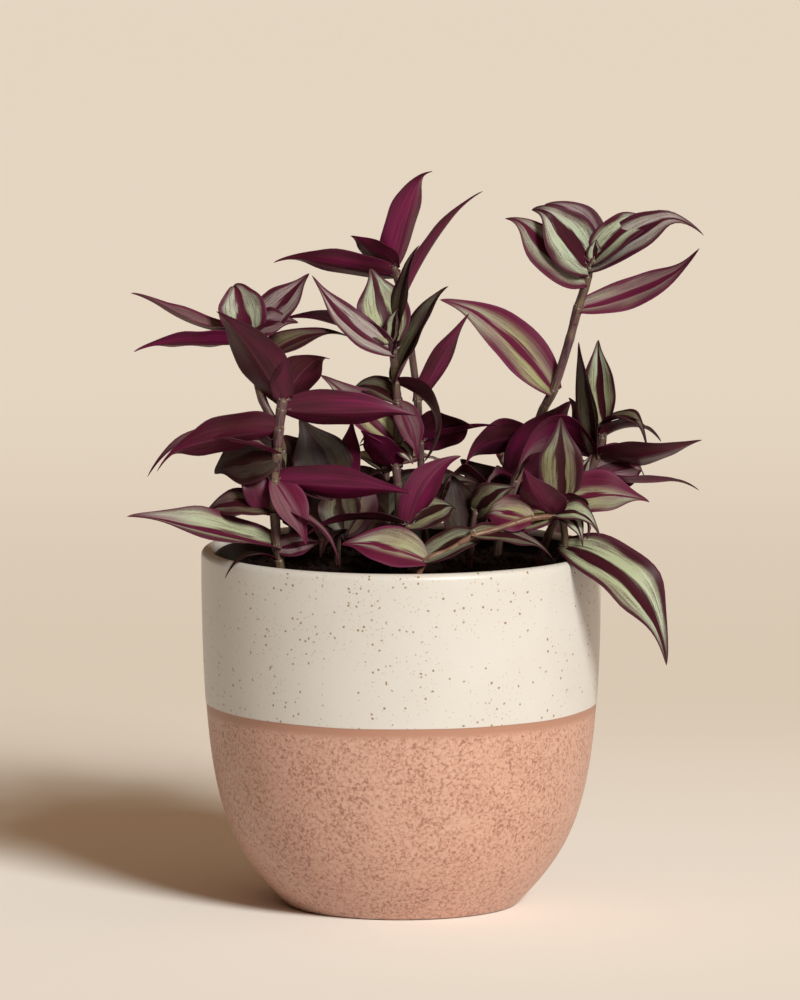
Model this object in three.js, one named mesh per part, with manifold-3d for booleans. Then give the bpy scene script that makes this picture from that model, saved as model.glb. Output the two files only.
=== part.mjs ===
// A potted tradescantia (Tradescantia zebrina, the silver inch plant) in a two-tone glazed pot.
// Millimetres, +Z up. The origin is the middle of the pot's flat foot, the front of the plant looks
// towards -Y, and +X is to the viewer's right.
// Pieces: the glazed pot, the black nursery pot inside it, the soil, and thirteen leafy stems.
import * as THREE from "three";
import { mergeVertices } from "three/addons/utils/BufferGeometryUtils.js";
import Module from "manifold-3d";

const wasm = await Module();
wasm.setup();

// Driving dimensions of the glazed pot
const potHeight = 134;
const potRimRadius = 75;
const potFootRadius = 44;
const potWall = 4.6;
const potFloor = 7;
const lipHeight = 2.6;
const potSides = 40;
// The side is a cubic curve; its second point is this much wider than the foot, and this share of
// the height up, and its third point this share up, just inside the rim
const bellyFlare = 1.54;
const bellyLow = 0.182;
const bellyHigh = 0.289;
const bellyInside = 0.3;
const outsideSteps = 9;
const insideSteps = 6;

// The nursery pot that stands inside it
const growRimTop = 132.2;
const growRimRadius = 69.7;
const growRimHeight = 8;
const growShoulderRadius = 67.4;
const growFootRadius = 38;
const growWall = 1.4;
const growSides = 28;

// Soil, stems and blades
const seatGap = 0.3;
const soilLevel = 125.6;
const soilMound = 3.5;
const soilRipple = 0.6;
const soilRings = 4;
const soilSides = 28;
const stemSides = 6;
const stemTip = 1.4;
const rootSink = 1;
const bladeThickness = 0.75;
const bladeSteps = 5;
const bentBladeSteps = 7;
const bentFrom = 8.2;
const narrowBlade = 15.2;

// Outline of a blade: its half width goes as (t + lead)^rise * (1 - t)^fall, t from base to tip,
// and is drawn in by the share pinch where it runs out into the long tip
const outline = { lead: 0.02, rise: 0.46, fall: 0.72, pinch: 0.55, pinchStart: 0.52, pinchEnd: 0.92 };
// Each half of a blade rises from the midrib, with the bottom of the keel rounded over this share
const keelSoftness = 0.12;
// The tip bends down past this share of the length
const hookStart = 0.7;
// The first section of a blade stands this part of a step closer to the stem
const baseSetback = 0.45;
const finestDetail = 0.06;

const finishes = {
  glaze: { color: 0xe8decd, roughness: 0.35, metalness: 0 },
  growPot: { color: 0x1c1b1b, roughness: 0.6, metalness: 0 },
  soil: { color: 0x33251d, roughness: 1, metalness: 0 },
  leaf: { color: 0x6b3f57, roughness: 0.45, metalness: 0 },
};

// Each stem: name, thickness, joints from the root up [right, away, up], and its leaves.
// Each leaf: the joint it grows from, reach from that joint to the tip [right, away, up], width,
// where its upper side looks [right, away, up], arch of the midrib, its sideways bend,
// droop of the hooked tip, and the angle in degrees by which each half folds up.
// A stem whose name starts with branch grows out of the stem before it and is one piece with it.
const stems = [
  ["stem_front_left", 3.8,
    [[-43, -36, 112], [-46, -38, 139], [-47, -38, 153], [-47, -38, 164], [-46, -38, 174],
      [-45.5, -38, 183], [-44.5, -38, 190.5], [-44, -38.5, 194]],
    [
      [1, [-55, -11, 16], 22, [0, -0.5, 1], -1, 0, 3, 35],
      [2, [-27, 9, -1], 15, [0, -0.8, 1], 3, 0, 3, 25],
      [5, [-46, -22, -7], 22, [0, 1, 0.6], 2, 0, 6, 25],
      [4, [-48, -4, 0], 16, [0, -0.2, 1], 6, 0, 8, 30],
      [4, [-24, 10, -7], 20, [0, -1, 0.4], 3, 0, 2, 15],
      [2, [-9, 3, 23], 18, [-0.5, 1, 0.1], 0, 0, 1, 20],
      [3, [51, -14, -1], 17, [0, 1, 0.6], -1, 0, 2, 30],
      [3, [12, -9, -22], 15, [0.4, -1, 0.3], 2, 0, 1, 30],
      [6, [50, 6, 0], 19, [0, 1, 0.6], -2, 0, 3, 32],
      [7, [-24, -16, 37], 21, [0.2, 1, 0.6], 2, 0, 2, 22],
      [7, [17, -5, 19], 20, [-0.4, 0.9, 0.5], 3, 0, 3, 15],
      [2, [25, -15, -17], 8, [0, 0, 1], 5, 0, 3, 30],
      [0.8, [-20, -8, -4], 6, [0, 0, 1], 5.5, 0, 1, 20],
      [1, [17, -5, 3], 9, [0.2, -1, 0.3], 1, 0, 0, 20],
    ]],
  ["branch_front_left", 3.4,
    [[-45.5, -38, 183], [-51.5, -34, 194], [-54.4, -28, 205], [-56.3, -24, 213.5], [-57.4, -23, 217]],
    [
      [4, [-5, 4, 21], 20, [0.1, -1, 0.2], 3, 0, 5, 28],
      [4, [23, 6, 23], 18, [-0.4, -1, 0.6], 2, 3, 1, 25],
      [4, [-42, -6, 20], 15, [0, -0.2, 1], -5, 0, 4, 35],
      [3, [-43, -8, 1], 15, [0, 0.6, 1], 0, 0, 3, 30],
      [4, [19, -7, 6], 15, [0.2, -0.7, 0.7], 2, 0, 1, 20],
      [2, [35, 22, 11], 18, [0, -0.3, 1], 4, 0, 2, 30],
    ]],
  ["stem_centre", 3.1,
    [[-1, -6, 112], [-1, -8, 145], [-1.3, -8, 158.5], [-1.9, -8, 165], [-1.7, -8, 174],
      [-1.7, -8, 189.5], [-2, -8, 197], [-3, -8, 208.7], [-3.5, -8.5, 213]],
    [
      [7, [-30, -5, 30], 14, [0.3, -1, 0.6], -1, -4, 1, 28],
      [8, [-8, 5, 28], 21, [0.1, -1, 0.3], -3, 0, 2, 18],
      [8, [2, -4, 13], 8, [-0.5, -1, 0.2], 0, 0, 1, 30],
      [7, [8, 2, 42], 15, [-1, -0.5, 0.2], 0, 0, 3, 30],
      [7, [-41, 11, 13], 19, [0, 0.6, 1], 3, 0, 2, 25],
      [4, [-28, -4, 28], 17, [0.4, -1, 0.6], -1, 0, 2, 30],
      [5, [-18, 12, 3], 14, [0, -0.5, 1], 4, 0, 2, 25],
      [5, [8, -5, -20], 12, [0.5, -1, 0.3], 2, 0, 1, 30],
      [3, [-13, -8, 16], 15, [0.5, 1, 0.5], 0, 0, 1, 20],
      [4, [6, -4, -7], 7, [0.5, -1, 0.3], 1, 0, 0, 25],
      [6, [11, -14, -27], 18, [1, 0.3, 0.6], 9, 0, 1, 25],
      [6, [18, -2, 39], 17, [-1, -0.4, 0.3], 0, 0, 3, 35],
    ]],
  ["stem_centre_back", 2.9,
    [[10, 14, 112], [8, 12, 150], [7, 11, 172], [6.1, 10, 188], [3.5, 10, 208.7], [0.6, 9, 225.8],
      [-1.7, 8, 235.4], [-2.8, 8, 238.4]],
    [
      [7, [12, -6, 42], 18.5, [-0.7, 0.8, 0.3], 1, 0, 6, 24],
      [7, [-16, -8, 14], 15, [0.5, 0.9, 0.8], 0, 0, 1, 20],
      [5, [29, 2, 43], 11, [-0.8, 0.5, 0.4], 3, 0, 2, 30],
      [6, [-46, -10, 10], 14.5, [0, 0.9, 0.8], 0, 0, 4, 25],
      [3, [19, 0, 34], 11, [-0.6, 0.9, 0.4], 0, 0, 1, 22],
      [2, [20, -10, 10], 22, [-0.3, 1, 0.5], 3, 0, 3, 12],
      [2, [30, -4, 8], 9, [0, 0.3, 1], 1, 0, 1, 30],
      [1, [20, -7, 9], 17, [0, -1, 0.8], 3, 0, 2, 20],
      [2, [-22, 14, 2], 18, [0, 0.6, 1], 5, 0, 4, 20],
    ]],
  ["stem_front_centre", 2.8,
    [[4, -30, 112], [3, -33, 135], [2.5, -36, 147]],
    [
      [2, [19, 6, 27], 15, [-0.4, 1, 0.4], 0, 4, 2, 22],
      [2, [-40, 1, -3.5], 12, [0, 0.2, 1], 4, 0, 2, 30],
      [2, [18, 14, 6], 15, [0, -1, 0.8], 3, 0, 2, 20],
      [1, [-20, -14, 5], 12, [0, -0.8, 1], 3, 0, 2, 25],
      [1, [-18, 10, 8], 14, [0, -0.8, 1], 3, 0, 2, 25],
    ]],
  ["stem_trailing", 2.4,
    [[2, -56, 112], [8.7, -57, 136.5], [18, -55, 140.5], [26.5, -53, 145.5], [33, -51, 147],
      [47.7, -46, 151], [57.4, -41, 151.5]],
    [
      [1, [-31, 8, 6], 20, [0.1, -0.9, 0.8], 3, 0, 1, 30],
      [1, [26, 14, 9], 15, [-0.2, -0.9, 1], 3, 0, 2, 25],
      [3, [30, 8, -8], 16, [0, -0.5, 1], 3, 0, 2, 25],
      [5, [-18, 6, 2], 16, [0.1, -1, 0.6], 2, 0, 6, 15],
      [6, [-12, -12, 20], 19, [0.4, 1, 0.6], -4, 0, 1, 22],
      [6, [-27, 4, -5], 16, [0, -0.6, 1], -1, 0, 1, 20],
      [6, [16, -8, -4], 13, [0.4, -0.8, 0.8], 4, 0, 3, 20],
      [6, [10, -7, -9], 9, [0.4, -0.8, 0.8], 4, 0, 2, 20],
    ]],
  ["stem_front_right", 2.9,
    [[49, -29, 112], [60.5, -29.5, 138], [60, -31, 149], [59.2, -31, 155.2]],
    [
      [3, [33, -1, 1], 23, [0, -0.9, 0.8], 3, 0, 1, 25],
      [1, [38, -8.5, -43], 26, [0.6, -1, 0.6], 12.5, -2.5, 0, 20],
      [3, [10, -8, -12], 16, [0.8, 0.6, 0.6], 4, 0, 1, 20],
      [3, [0, 4, 32], 18, [0, -1, 0.2], 0, 0, 1, 20],
    ]],
  ["stem_right", 3.1,
    [[48, -8, 112], [55, -8, 140], [63, -7, 153], [70, -6, 162], [73, -5, 169], [75, -5, 176],
      [76, -5, 181]],
    [
      [4, [-8, -6, 45], 14, [-0.7, -0.6, 0.2], -2, 0, 2, 35],
      [6, [-3, 2, 33], 15, [-0.5, -1, 0.2], 0, 0, 2, 30],
      [4, [39, -14, 9], 19, [0, 0.8, 1], -4, 0, 1, 25],
      [5, [22, -3, 1], 17, [0, 0.4, 1], 4, 0, 2, 25],
      [6, [16, -8, -4], 12, [0, -0.2, 1], 5, 0, 5, 30],
      [3, [41, -12, 2], 13, [0, 0.25, 1], -3, 0, 6, 30],
      [3, [22, 10, 3], 19, [0.2, -1, 0.5], 4, 0, 6, 15],
      [2, [8, -3, 18], 9, [-0.3, -1, 0.2], 0, 0, 1, 25],
      [4, [-30, -2, -4], 22, [0, 0.9, 0.8], 13, 0, 2, 20],
      [4, [-10, 8, 22], 15, [0.5, 0.9, 0.2], 0, 0, 1, 20],
    ]],
  ["stem_right_tall", 3.5,
    [[34, 24, 112], [38, 24, 140], [43, 24, 156], [49, 24, 172], [53.3, 24, 183], [57, 24, 190.2],
      [63.3, 24, 209.8], [66.3, 24, 221.4], [68.9, 24, 229.3], [70.7, 24, 236.8], [72.2, 24, 239.4]],
    [
      [9, [-19.5, -7, 27.5], 23, [0.3, -1, 0.5], 1, -1, 7, 22],
      [10, [-18, 5, 23], 16, [0.3, -1, 0.4], 0, 5, 3, 22],
      [8.5, [-28.5, -5, 29], 20, [0.4, -1, 0.6], 0, -4, 8, 12],
      [10, [26, 6, 15], 16, [0, -1, 0.8], 8, 0, 2, 30],
      [9, [39, -8, 25], 17, [0, -1, 0.8], 2, 0, 15, 28],
      [10, [1, -3, 9], 7, [0, -1, 0], 0, 0, 1, 30],
      [10, [20, -2, 13], 12, [0, -1, 0.8], 3, 0, 1, 30],
      [7, [46, -6, 21], 13.5, [0, -1, 0.7], -7, 0, -3, 22],
      [5, [-42, -8, 37], 22, [0.4, -1, 0.7], 0, 5, 2, 18],
      [3, [-26, -9, -8], 20, [0, 0.9, 0.8], 5, 0, 3, 20],
      [2, [16, 24, 14], 19, [0, 0.6, 1], 4, 0, 3, 20],
      [2, [20.5, -6, 32], 22, [-0.3, 1, 0.2], 0, 0, 1, 20],
    ]],
  ["stem_left_back", 3.0,
    [[-24, -6, 112], [-24, -8, 140], [-24, -8, 155]],
    [
      [2, [-14, 4, 29], 24, [0.2, -1, 0.3], 0, 0, 1, 20],
      [2, [-20, 10, 22], 23, [0.2, -1, 0.4], 0, 0, 1, 20],
      [2, [6, 8, 28], 14, [0.6, 0.8, 0.2], 0, 0, 1, 20],
      [2, [3, -8, -16], 18, [0, -1, 0.2], 1, 0, 1, 25],
      [2, [25, 17, 8], 14, [0, 0, 1], 2, 0, 1, 25],
      [1, [-18, 14, 6], 18, [0, -0.4, 1], 4, 0, 3, 20],
      [1, [-6, -22, -3], 13, [0, -0.6, 1], 4, 0, 3, 25],
      [1, [13, 12, 25], 21, [0, -1, 0.3], 0, 0, 2, 20],
    ]],
  ["stem_centre_right", 3.0,
    [[24, -14, 112], [26, -15, 138], [28, -16, 149], [32, -15, 157]],
    [
      [3, [-18, -2, -2], 18, [-0.1, 0.4, 1], 9, 0, 4, 15],
      [2, [14, -6, 12], 14, [0, -1, 0.6], 3, 0, 2, 20],
      [3, [9, 9, 6], 12, [-0.4, 0.4, 0.8], 3, 0, 2, 25],
      [1, [-7, 4, 26], 18, [0.1, -1, 0.3], 0, 0, 2, 20],
    ]],
  ["stem_back_left", 3.1,
    [[-38, 28, 112], [-41, 32, 138], [-43, 35, 150], [-44, 36, 158]],
    [
      [3, [-8, 34, 0], 19, [0, 0.2, 1], 4, 0, 4, 25],
      [3, [4, 34, 8], 19, [0, 0.2, 1], 4, 0, 4, 25],
      [2, [-14, 36, -4], 20, [0, 0.3, 1], 5, 0, 5, 22],
      [1, [-30, 10, -3], 18, [-0.2, 0, 1], 6, 0, 3, 22],
      [3, [-4, 4, 10], 11, [0.2, -1, 0.3], 0, 0, 2, 30],
      [3, [22, 14, 8], 18, [0, 0.2, 1], 4, 0, 4, 25],
      [1, [13, -14, 24], 22, [0, -1, 0.4], 0, 0, 2, 20],
    ]],
  ["stem_back", 3.1,
    [[-4, 42, 112], [-5, 45, 137], [-6, 47, 148], [-6, 49, 156], [-5.5, 50, 161]],
    [
      [3, [24, 26, 0], 19, [0.2, 0.2, 1], 4, 0, 4, 25],
      [3, [-26, 22, 2], 19, [-0.2, 0.2, 1], 4, 0, 4, 25],
      [4, [4, 32, 4], 18, [0, 0.3, 1], 4, 0, 5, 25],
      [2, [-12, 38, -8], 20, [0, 0.3, 1], 6, 0, 4, 22],
      [4, [6, -12, 5], 15, [0, -1, 0.4], 0, 0, 2, 28],
      [4, [-10, 8, 6], 13, [0.5, -0.5, 0.5], 0, 0, 2, 30],
      [1, [10, 38, -14], 20, [0, 0.5, 1], 9, 0, 3, 20],
      [1, [-22, -14, 27], 23, [0.2, -1, 0.4], 0, 0, 2, 20],
      [1, [20, -12, 25], 23, [-0.2, -1, 0.4], 0, 0, 2, 20],
      [1, [-8, -25, -5], 18, [0, -0.3, 1], 2, 0, 3, 20],
    ]],
  ["stem_back_right", 3.1,
    [[34, 44, 112], [38, 48, 139], [41, 51, 149], [43, 53, 156]],
    [
      [3, [32, 14, 0], 19, [0.2, 0.1, 1], 4, 0, 4, 25],
      [3, [4, 36, 4], 19, [0, 0.3, 1], 4, 0, 4, 25],
      [2, [30, 26, -6], 20, [0.2, 0.2, 1], 6, 0, 4, 22],
      [3, [-4, 4, 8], 11, [0.3, -0.8, 0.4], 0, 0, 2, 30],
      [1, [26, 28, -24], 20, [0.6, 0.6, 0.6], 10, 0, 2, 20],
      [2, [-8, 36, -8], 18, [0, 0.3, 1], 5, 0, 4, 25],
      [1, [-15, -12, 25], 22, [0.2, -1, 0.4], 0, 0, 2, 20],
      [1, [18, -14, 19], 21, [0, -1, 0.4], 0, 0, 2, 20],
      [1, [-12, -26, -4], 18, [0, -0.3, 1], 2, 0, 3, 20],
    ]],
];

const fromList = ([x, y, z]) => new THREE.Vector3(x, y, z);

// A closed mesh, with its shared vertices merged, as a solid that can be joined and cut
function toSolid(geometry) {
  const bare = geometry.clone();
  bare.deleteAttribute("normal");
  bare.deleteAttribute("uv");
  const merged = mergeVertices(bare, 1e-4);
  const mesh = new wasm.Mesh({
    numProp: 3,
    vertProperties: merged.attributes.position.array,
    triVerts: new Uint32Array(merged.index.array),
  });
  return new wasm.Manifold(mesh);
}

function toGeometry(solid) {
  const { vertProperties, triVerts } = solid.getMesh();
  const geometry = new THREE.BufferGeometry();
  geometry.setAttribute("position", new THREE.BufferAttribute(vertProperties, 3));
  geometry.setIndex(new THREE.BufferAttribute(triVerts, 1));
  geometry.computeVertexNormals();
  return geometry;
}

function meshOf(name, geometry, finish) {
  const mesh = new THREE.Mesh(geometry, new THREE.MeshStandardMaterial(finish));
  mesh.name = name;
  return mesh;
}

// A profile of radius and height turned round the upright axis
function turned(profile, sides) {
  const geometry = new THREE.LatheGeometry(profile.map(([r, z]) => new THREE.Vector2(r, z)), sides);
  geometry.rotateX(Math.PI / 2);
  return geometry;
}

// The pot's side is one smooth curve from the foot to the rim, drawn in by inset for the inside
function potSide(inset, foot, top, steps) {
  const curve = new THREE.CubicBezierCurve(
    new THREE.Vector2(potFootRadius - inset, foot),
    new THREE.Vector2(potFootRadius * bellyFlare - inset, foot + potHeight * bellyLow),
    new THREE.Vector2(potRimRadius - bellyInside - inset, foot * 0.7 + potHeight * bellyHigh),
    new THREE.Vector2(potRimRadius - inset, top),
  );
  return curve.getPoints(steps).map((p) => [p.x, p.y]);
}

function pot() {
  const lipMiddle = potRimRadius - potWall / 2;
  const lipStart = potHeight - lipHeight;
  const outside = potSide(0, 0, lipStart, outsideSteps);
  const lip = [30, 90, 150].map((degrees) => {
    const turn = THREE.MathUtils.degToRad(degrees);
    return [lipMiddle + (potWall / 2) * Math.cos(turn), lipStart + lipHeight * Math.sin(turn)];
  });
  const inside = potSide(potWall, potFloor, lipStart, insideSteps).reverse();
  const profile = [[0, 0], ...outside, ...lip, ...inside, [0, potFloor]];
  return meshOf("pot", turned(profile, potSides), finishes.glaze);
}

// The nursery pot: a plain cone with a short, wider rim that hangs down as a skirt
function growPot() {
  const foot = potFloor + seatGap;
  const skirt = growRimTop - growRimHeight;
  const profile = [
    [0, foot],
    [growFootRadius, foot],
    [growShoulderRadius, skirt],
    [growRimRadius, skirt],
    [growRimRadius, growRimTop],
    [growRimRadius - growWall, growRimTop],
    [growShoulderRadius - growWall, skirt],
    [growFootRadius - growWall, foot + growWall],
    [0, foot + growWall],
  ];
  return meshOf("grow_pot", turned(profile, growSides), finishes.growPot);
}

// Rings are squared to the path against the same sideways direction all the way up
function ringFrame(tangent) {
  const across = new THREE.Vector3(1, 0, 0).addScaledVector(tangent, -tangent.x).normalize();
  return [across, new THREE.Vector3().crossVectors(tangent, across)];
}

// A stem: a ring at each joint, square to the path, carried up to the tip; extra thickens it all over
function stalk(joints, thickness, extra = 0) {
  const path = new THREE.CatmullRomCurve3(joints.map(fromList), false, "centripetal");
  const last = joints.length - 1;
  const radius = thickness / 2 + extra;
  const positions = [];
  for (let ring = 0; ring <= last; ring++) {
    const centre = path.getPoint(ring / last);
    const tangent = path.getTangent(ring / last);
    const [across, over] = ringFrame(tangent);
    if (ring === 0) centre.addScaledVector(tangent, -extra);
    if (ring === last) centre.addScaledVector(tangent, stemTip);
    for (let side = 0; side < stemSides; side++) {
      const turn = (side / stemSides) * 2 * Math.PI;
      const point = centre
        .clone()
        .addScaledVector(across, radius * Math.cos(turn))
        .addScaledVector(over, radius * Math.sin(turn));
      positions.push(...point.toArray());
    }
  }
  const index = [];
  for (let ring = 0; ring < last; ring++) {
    for (let side = 0; side < stemSides; side++) {
      const a = ring * stemSides + side;
      const b = ring * stemSides + ((side + 1) % stemSides);
      index.push(a, b, b + stemSides, a, b + stemSides, a + stemSides);
    }
  }
  const top = last * stemSides;
  for (let side = 1; side < stemSides - 1; side++) {
    index.push(0, side + 1, side, top, top + side, top + side + 1);
  }
  const geometry = new THREE.BufferGeometry();
  geometry.setAttribute("position", new THREE.Float32BufferAttribute(positions, 3));
  geometry.setIndex(index);
  return geometry;
}

// The point of a joint; a leaf may also grow part of the way between two joints
function jointPoint(joints, place) {
  const below = Math.min(Math.floor(place), joints.length - 2);
  return fromList(joints[below]).lerp(fromList(joints[below + 1]), place - below);
}

// The midrib: a straight reach, arched towards the upper side, bent sideways, with a hooked tip that
// droops midway between the leaf's under side and straight down
function midribOf(base, [, reach, , face, arch, bend, hook]) {
  const line = fromList(reach);
  const along = line.clone().normalize();
  const up = fromList(face);
  up.addScaledVector(along, -up.dot(along)).normalize();
  const side = new THREE.Vector3().crossVectors(along, up);
  const lift = up.clone().add(new THREE.Vector3(0, 0, 1)).normalize();
  const pointAt = (t) => {
    const bow = 4 * t * (1 - t);
    const drop = Math.max(0, (t - hookStart) / (1 - hookStart)) ** 2;
    return base
      .clone()
      .addScaledVector(line, t)
      .addScaledVector(up, arch * bow)
      .addScaledVector(lift, -hook * drop)
      .addScaledVector(side, bend * bow);
  };
  return { pointAt, side };
}

function halfWidthAt(t) {
  const { lead, rise, fall, pinch, pinchStart, pinchEnd } = outline;
  const widest = rise / (rise + fall);
  const most = (widest + lead) ** rise * (1 - widest) ** fall;
  const drawnIn = 1 - pinch * THREE.MathUtils.smoothstep(t, pinchStart, pinchEnd);
  return (drawnIn * (t + lead) ** rise * (1 - t) ** fall) / most;
}

// A blade: sections of left margin, midrib and right margin (a narrow blade has no midrib), on an
// upper and an under face that are split into triangles alike, drawn together to a point inside the
// stem and another at the tip
function blade(joints, leaf) {
  const [place, reach, width, , arch, , hook, fold] = leaf;
  const { pointAt, side } = midribOf(jointPoint(joints, place), leaf);
  const steps = Math.abs(arch) + Math.abs(hook) > bentFrom ? bentBladeSteps : bladeSteps;
  const places = width > narrowBlade ? [-1, 0, 1] : [-1, 1];
  const folded = THREE.MathUtils.degToRad(fold);
  const upper = [];
  const under = [];
  for (let step = 1; step < steps; step++) {
    const t = (step - baseSetback) / (steps - baseSetback);
    const centre = pointAt(t);
    const tangent = pointAt(t + 1e-3).sub(pointAt(t - 1e-3)).normalize();
    const out = side.clone().addScaledVector(tangent, -side.dot(tangent)).normalize();
    const up = new THREE.Vector3().crossVectors(out, tangent);
    const half = (width / 2) * halfWidthAt(t);
    for (const part of places) {
      const lift = Math.hypot(part, keelSoftness) - keelSoftness;
      const point = centre
        .clone()
        .addScaledVector(out, half * part * Math.cos(folded))
        .addScaledVector(up, half * lift * Math.sin(folded));
      upper.push(point.clone().addScaledVector(up, bladeThickness / 2));
      under.push(point.addScaledVector(up, -bladeThickness / 2));
    }
  }
  const low = upper.length;
  const tip = 2 * low;
  const root = tip + 1;
  const across = places.length;
  const index = [];
  const bothFaces = (a, b, c) => {
    const mirrored = [a, c, b].map((k) => (k < low ? k + low : k));
    index.push(a, b, c, ...mirrored);
  };
  for (let first = 0; first < low; first += across) {
    const lastSection = first + across === low;
    for (let k = first; k < first + across - 1; k++) {
      if (first === 0) bothFaces(k + 1, k, root);
      if (lastSection) bothFaces(k, k + 1, tip);
      else if (k === first) {
        bothFaces(k, k + 1, k + 1 + across);
        bothFaces(k, k + 1 + across, k + across);
      } else {
        bothFaces(k, k + 1, k + across);
        bothFaces(k + 1, k + 1 + across, k + across);
      }
    }
  }
  const margins = [];
  for (let k = 0; k < low; k += across) margins.push(k);
  const left = [root, ...margins, tip];
  const right = [root, ...margins.map((k) => k + across - 1), tip].reverse();
  for (const edge of [left, right]) {
    for (let k = 0; k < edge.length - 1; k++) {
      const [a, b] = [edge[k], edge[k + 1]];
      if (a < low) index.push(a, b, a + low);
      if (b < low) index.push(a < low ? a + low : a, b, b + low);
    }
  }
  const sunk = pointAt(0).addScaledVector(fromList(reach).normalize(), -rootSink);
  const geometry = new THREE.BufferGeometry().setFromPoints([...upper, ...under, pointAt(1), sunk]);
  geometry.setIndex(index);
  return geometry;
}

// A stem and all of its leaves, with any branch, joined into one body
function leafyStem(parts) {
  let solid = null;
  for (const [, thickness, joints, leaves] of parts) {
    const stem = toSolid(stalk(joints, thickness));
    solid = solid ? solid.add(stem) : stem;
    for (const leaf of leaves) {
      solid = solid.add(toSolid(blade(joints, leaf)));
    }
  }
  return meshOf(parts[0][0], toGeometry(outerShell(solid)), finishes.leaf);
}

// Edges finer than the smallest detail go, and of any shells that are left only the outer skin
// stays, because blades that lie on each other can shut in a tiny hollow
function outerShell(solid) {
  const shells = solid.simplify(finestDetail).decompose();
  return shells.reduce((best, shell) => (shell.volume() > best.volume() ? shell : best));
}

// The soil fills the nursery pot, is heaped a little in the middle and slightly uneven, and has a
// blind hole for every stem
function soil(rooted) {
  const bottom = potFloor + seatGap + growWall + seatGap;
  const slope = (growShoulderRadius - growFootRadius) / (growRimTop - growRimHeight - potFloor);
  const inner = growWall + seatGap;
  const radiusAt = (height) => growFootRadius - inner + slope * (height - bottom);
  const topRadius = radiusAt(growRimTop - growRimHeight);
  const profile = [[0, bottom], [radiusAt(bottom), bottom]];
  profile.push([topRadius, growRimTop - growRimHeight]);
  for (let ring = 0; ring <= soilRings; ring++) {
    const r = topRadius * (1 - ring / soilRings);
    profile.push([r, soilLevel + soilMound * (1 - (r / topRadius) ** 2)]);
  }
  const geometry = turned(profile, soilSides);
  const position = geometry.attributes.position;
  for (let i = 0; i < position.count; i++) {
    const [x, y, z] = [position.getX(i), position.getY(i), position.getZ(i)];
    const ripple = soilRipple * Math.sin(x / 7) * Math.cos(y / 6);
    if (z > growRimTop - growRimHeight + seatGap) position.setZ(i, z + ripple);
  }
  let solid = toSolid(geometry);
  for (const [, thickness, joints] of rooted) {
    solid = solid.subtract(toSolid(stalk(joints.slice(0, 3), thickness, seatGap)));
  }
  return meshOf("soil", toGeometry(solid), finishes.soil);
}

const plants = [];
for (const stem of stems) {
  if (stem[0].startsWith("branch")) plants.at(-1).push(stem);
  else plants.push([stem]);
}

const object = new THREE.Group();
object.add(pot(), growPot(), soil(plants.map((parts) => parts[0])));
object.add(...plants.map(leafyStem));

export default object;
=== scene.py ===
# A silver inch plant in a black nursery pot, inside a two-tone glazed stoneware pot.
# Metres, +Z up, the pot's foot on the floor at the origin, the front of the plant towards -Y.
import math
from functools import partial

import bmesh
import bpy
import numpy as np
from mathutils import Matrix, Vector


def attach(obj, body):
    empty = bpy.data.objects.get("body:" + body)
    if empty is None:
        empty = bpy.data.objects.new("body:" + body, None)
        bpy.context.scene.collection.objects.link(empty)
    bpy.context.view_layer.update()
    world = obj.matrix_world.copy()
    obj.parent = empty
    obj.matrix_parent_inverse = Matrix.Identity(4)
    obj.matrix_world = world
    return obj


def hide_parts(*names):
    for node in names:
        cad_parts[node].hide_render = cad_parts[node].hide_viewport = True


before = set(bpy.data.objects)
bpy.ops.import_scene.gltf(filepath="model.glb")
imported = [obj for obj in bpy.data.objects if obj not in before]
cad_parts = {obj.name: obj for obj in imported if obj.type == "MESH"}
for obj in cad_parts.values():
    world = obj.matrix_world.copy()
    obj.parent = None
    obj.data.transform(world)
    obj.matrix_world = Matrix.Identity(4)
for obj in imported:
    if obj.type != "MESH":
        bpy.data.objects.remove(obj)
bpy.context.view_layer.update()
mm = 0.001
# a surface's own UV goes up by 1 in this many mm
uvSpan = 100


# surfaces

# Each vector divided by its own length
def unit(v):
    return v / np.linalg.norm(v, axis=-1, keepdims=True)


# 0 below low, 1 above high, and 3s^2 - 2s^3 of the share s in between
def smooth(x, low, high):
    s = np.clip((x - low) / (high - low), 0, 1)
    return s * s * (3 - 2 * s)


# Uneven height at each point: a sum of sines of x, y and z along seeded directions, in octaves each
# half as long and half as high as the one before, so that it looks like crumbled matter
def rough(points, wavelength, seed, octaves):
    rng = np.random.default_rng(seed)
    total = np.zeros(points.shape[:-1])
    for octave in range(octaves):
        turns = unit(rng.normal(size=(9, 3))) * (2 ** octave) * 2 * np.pi / wavelength
        phases = rng.uniform(0, 2 * np.pi, 9)
        total += np.sin(points @ turns.T + phases).sum(axis=-1) / 3 / 2 ** octave
    return total / 2


# A centripetal Catmull-Rom curve through the points, which is the same curve that the CAD uses:
# each span blends its four nearest points by the square root of the distances between them
def curveThrough(points, perSpan):
    p = np.asarray(points, float)
    p = np.vstack([2 * p[0] - p[1], p, 2 * p[-1] - p[-2]])
    spans = []
    for a, b, c, d in zip(p[:-3], p[1:-2], p[2:-1], p[3:]):
        knots = np.cumsum([0] + [np.linalg.norm(q - r) ** 0.5 for q, r in ((b, a), (c, b), (d, c))])
        u = np.linspace(knots[1], knots[2], perSpan, endpoint=False)[:, None]
        low = [q + (r - q) * (u - k0) / (k1 - k0)
               for q, r, k0, k1 in zip((a, b, c), (b, c, d), knots[:-1], knots[1:])]
        mid = [q + (r - q) * (u - k0) / (k2 - k0)
               for q, r, k0, k2 in zip(low[:-1], low[1:], knots[:-2], knots[2:])]
        spans.append(mid[0] + (mid[1] - mid[0]) * (u - knots[1]) / (knots[2] - knots[1]))
    return np.vstack(spans + [p[-2:-1]])


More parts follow.
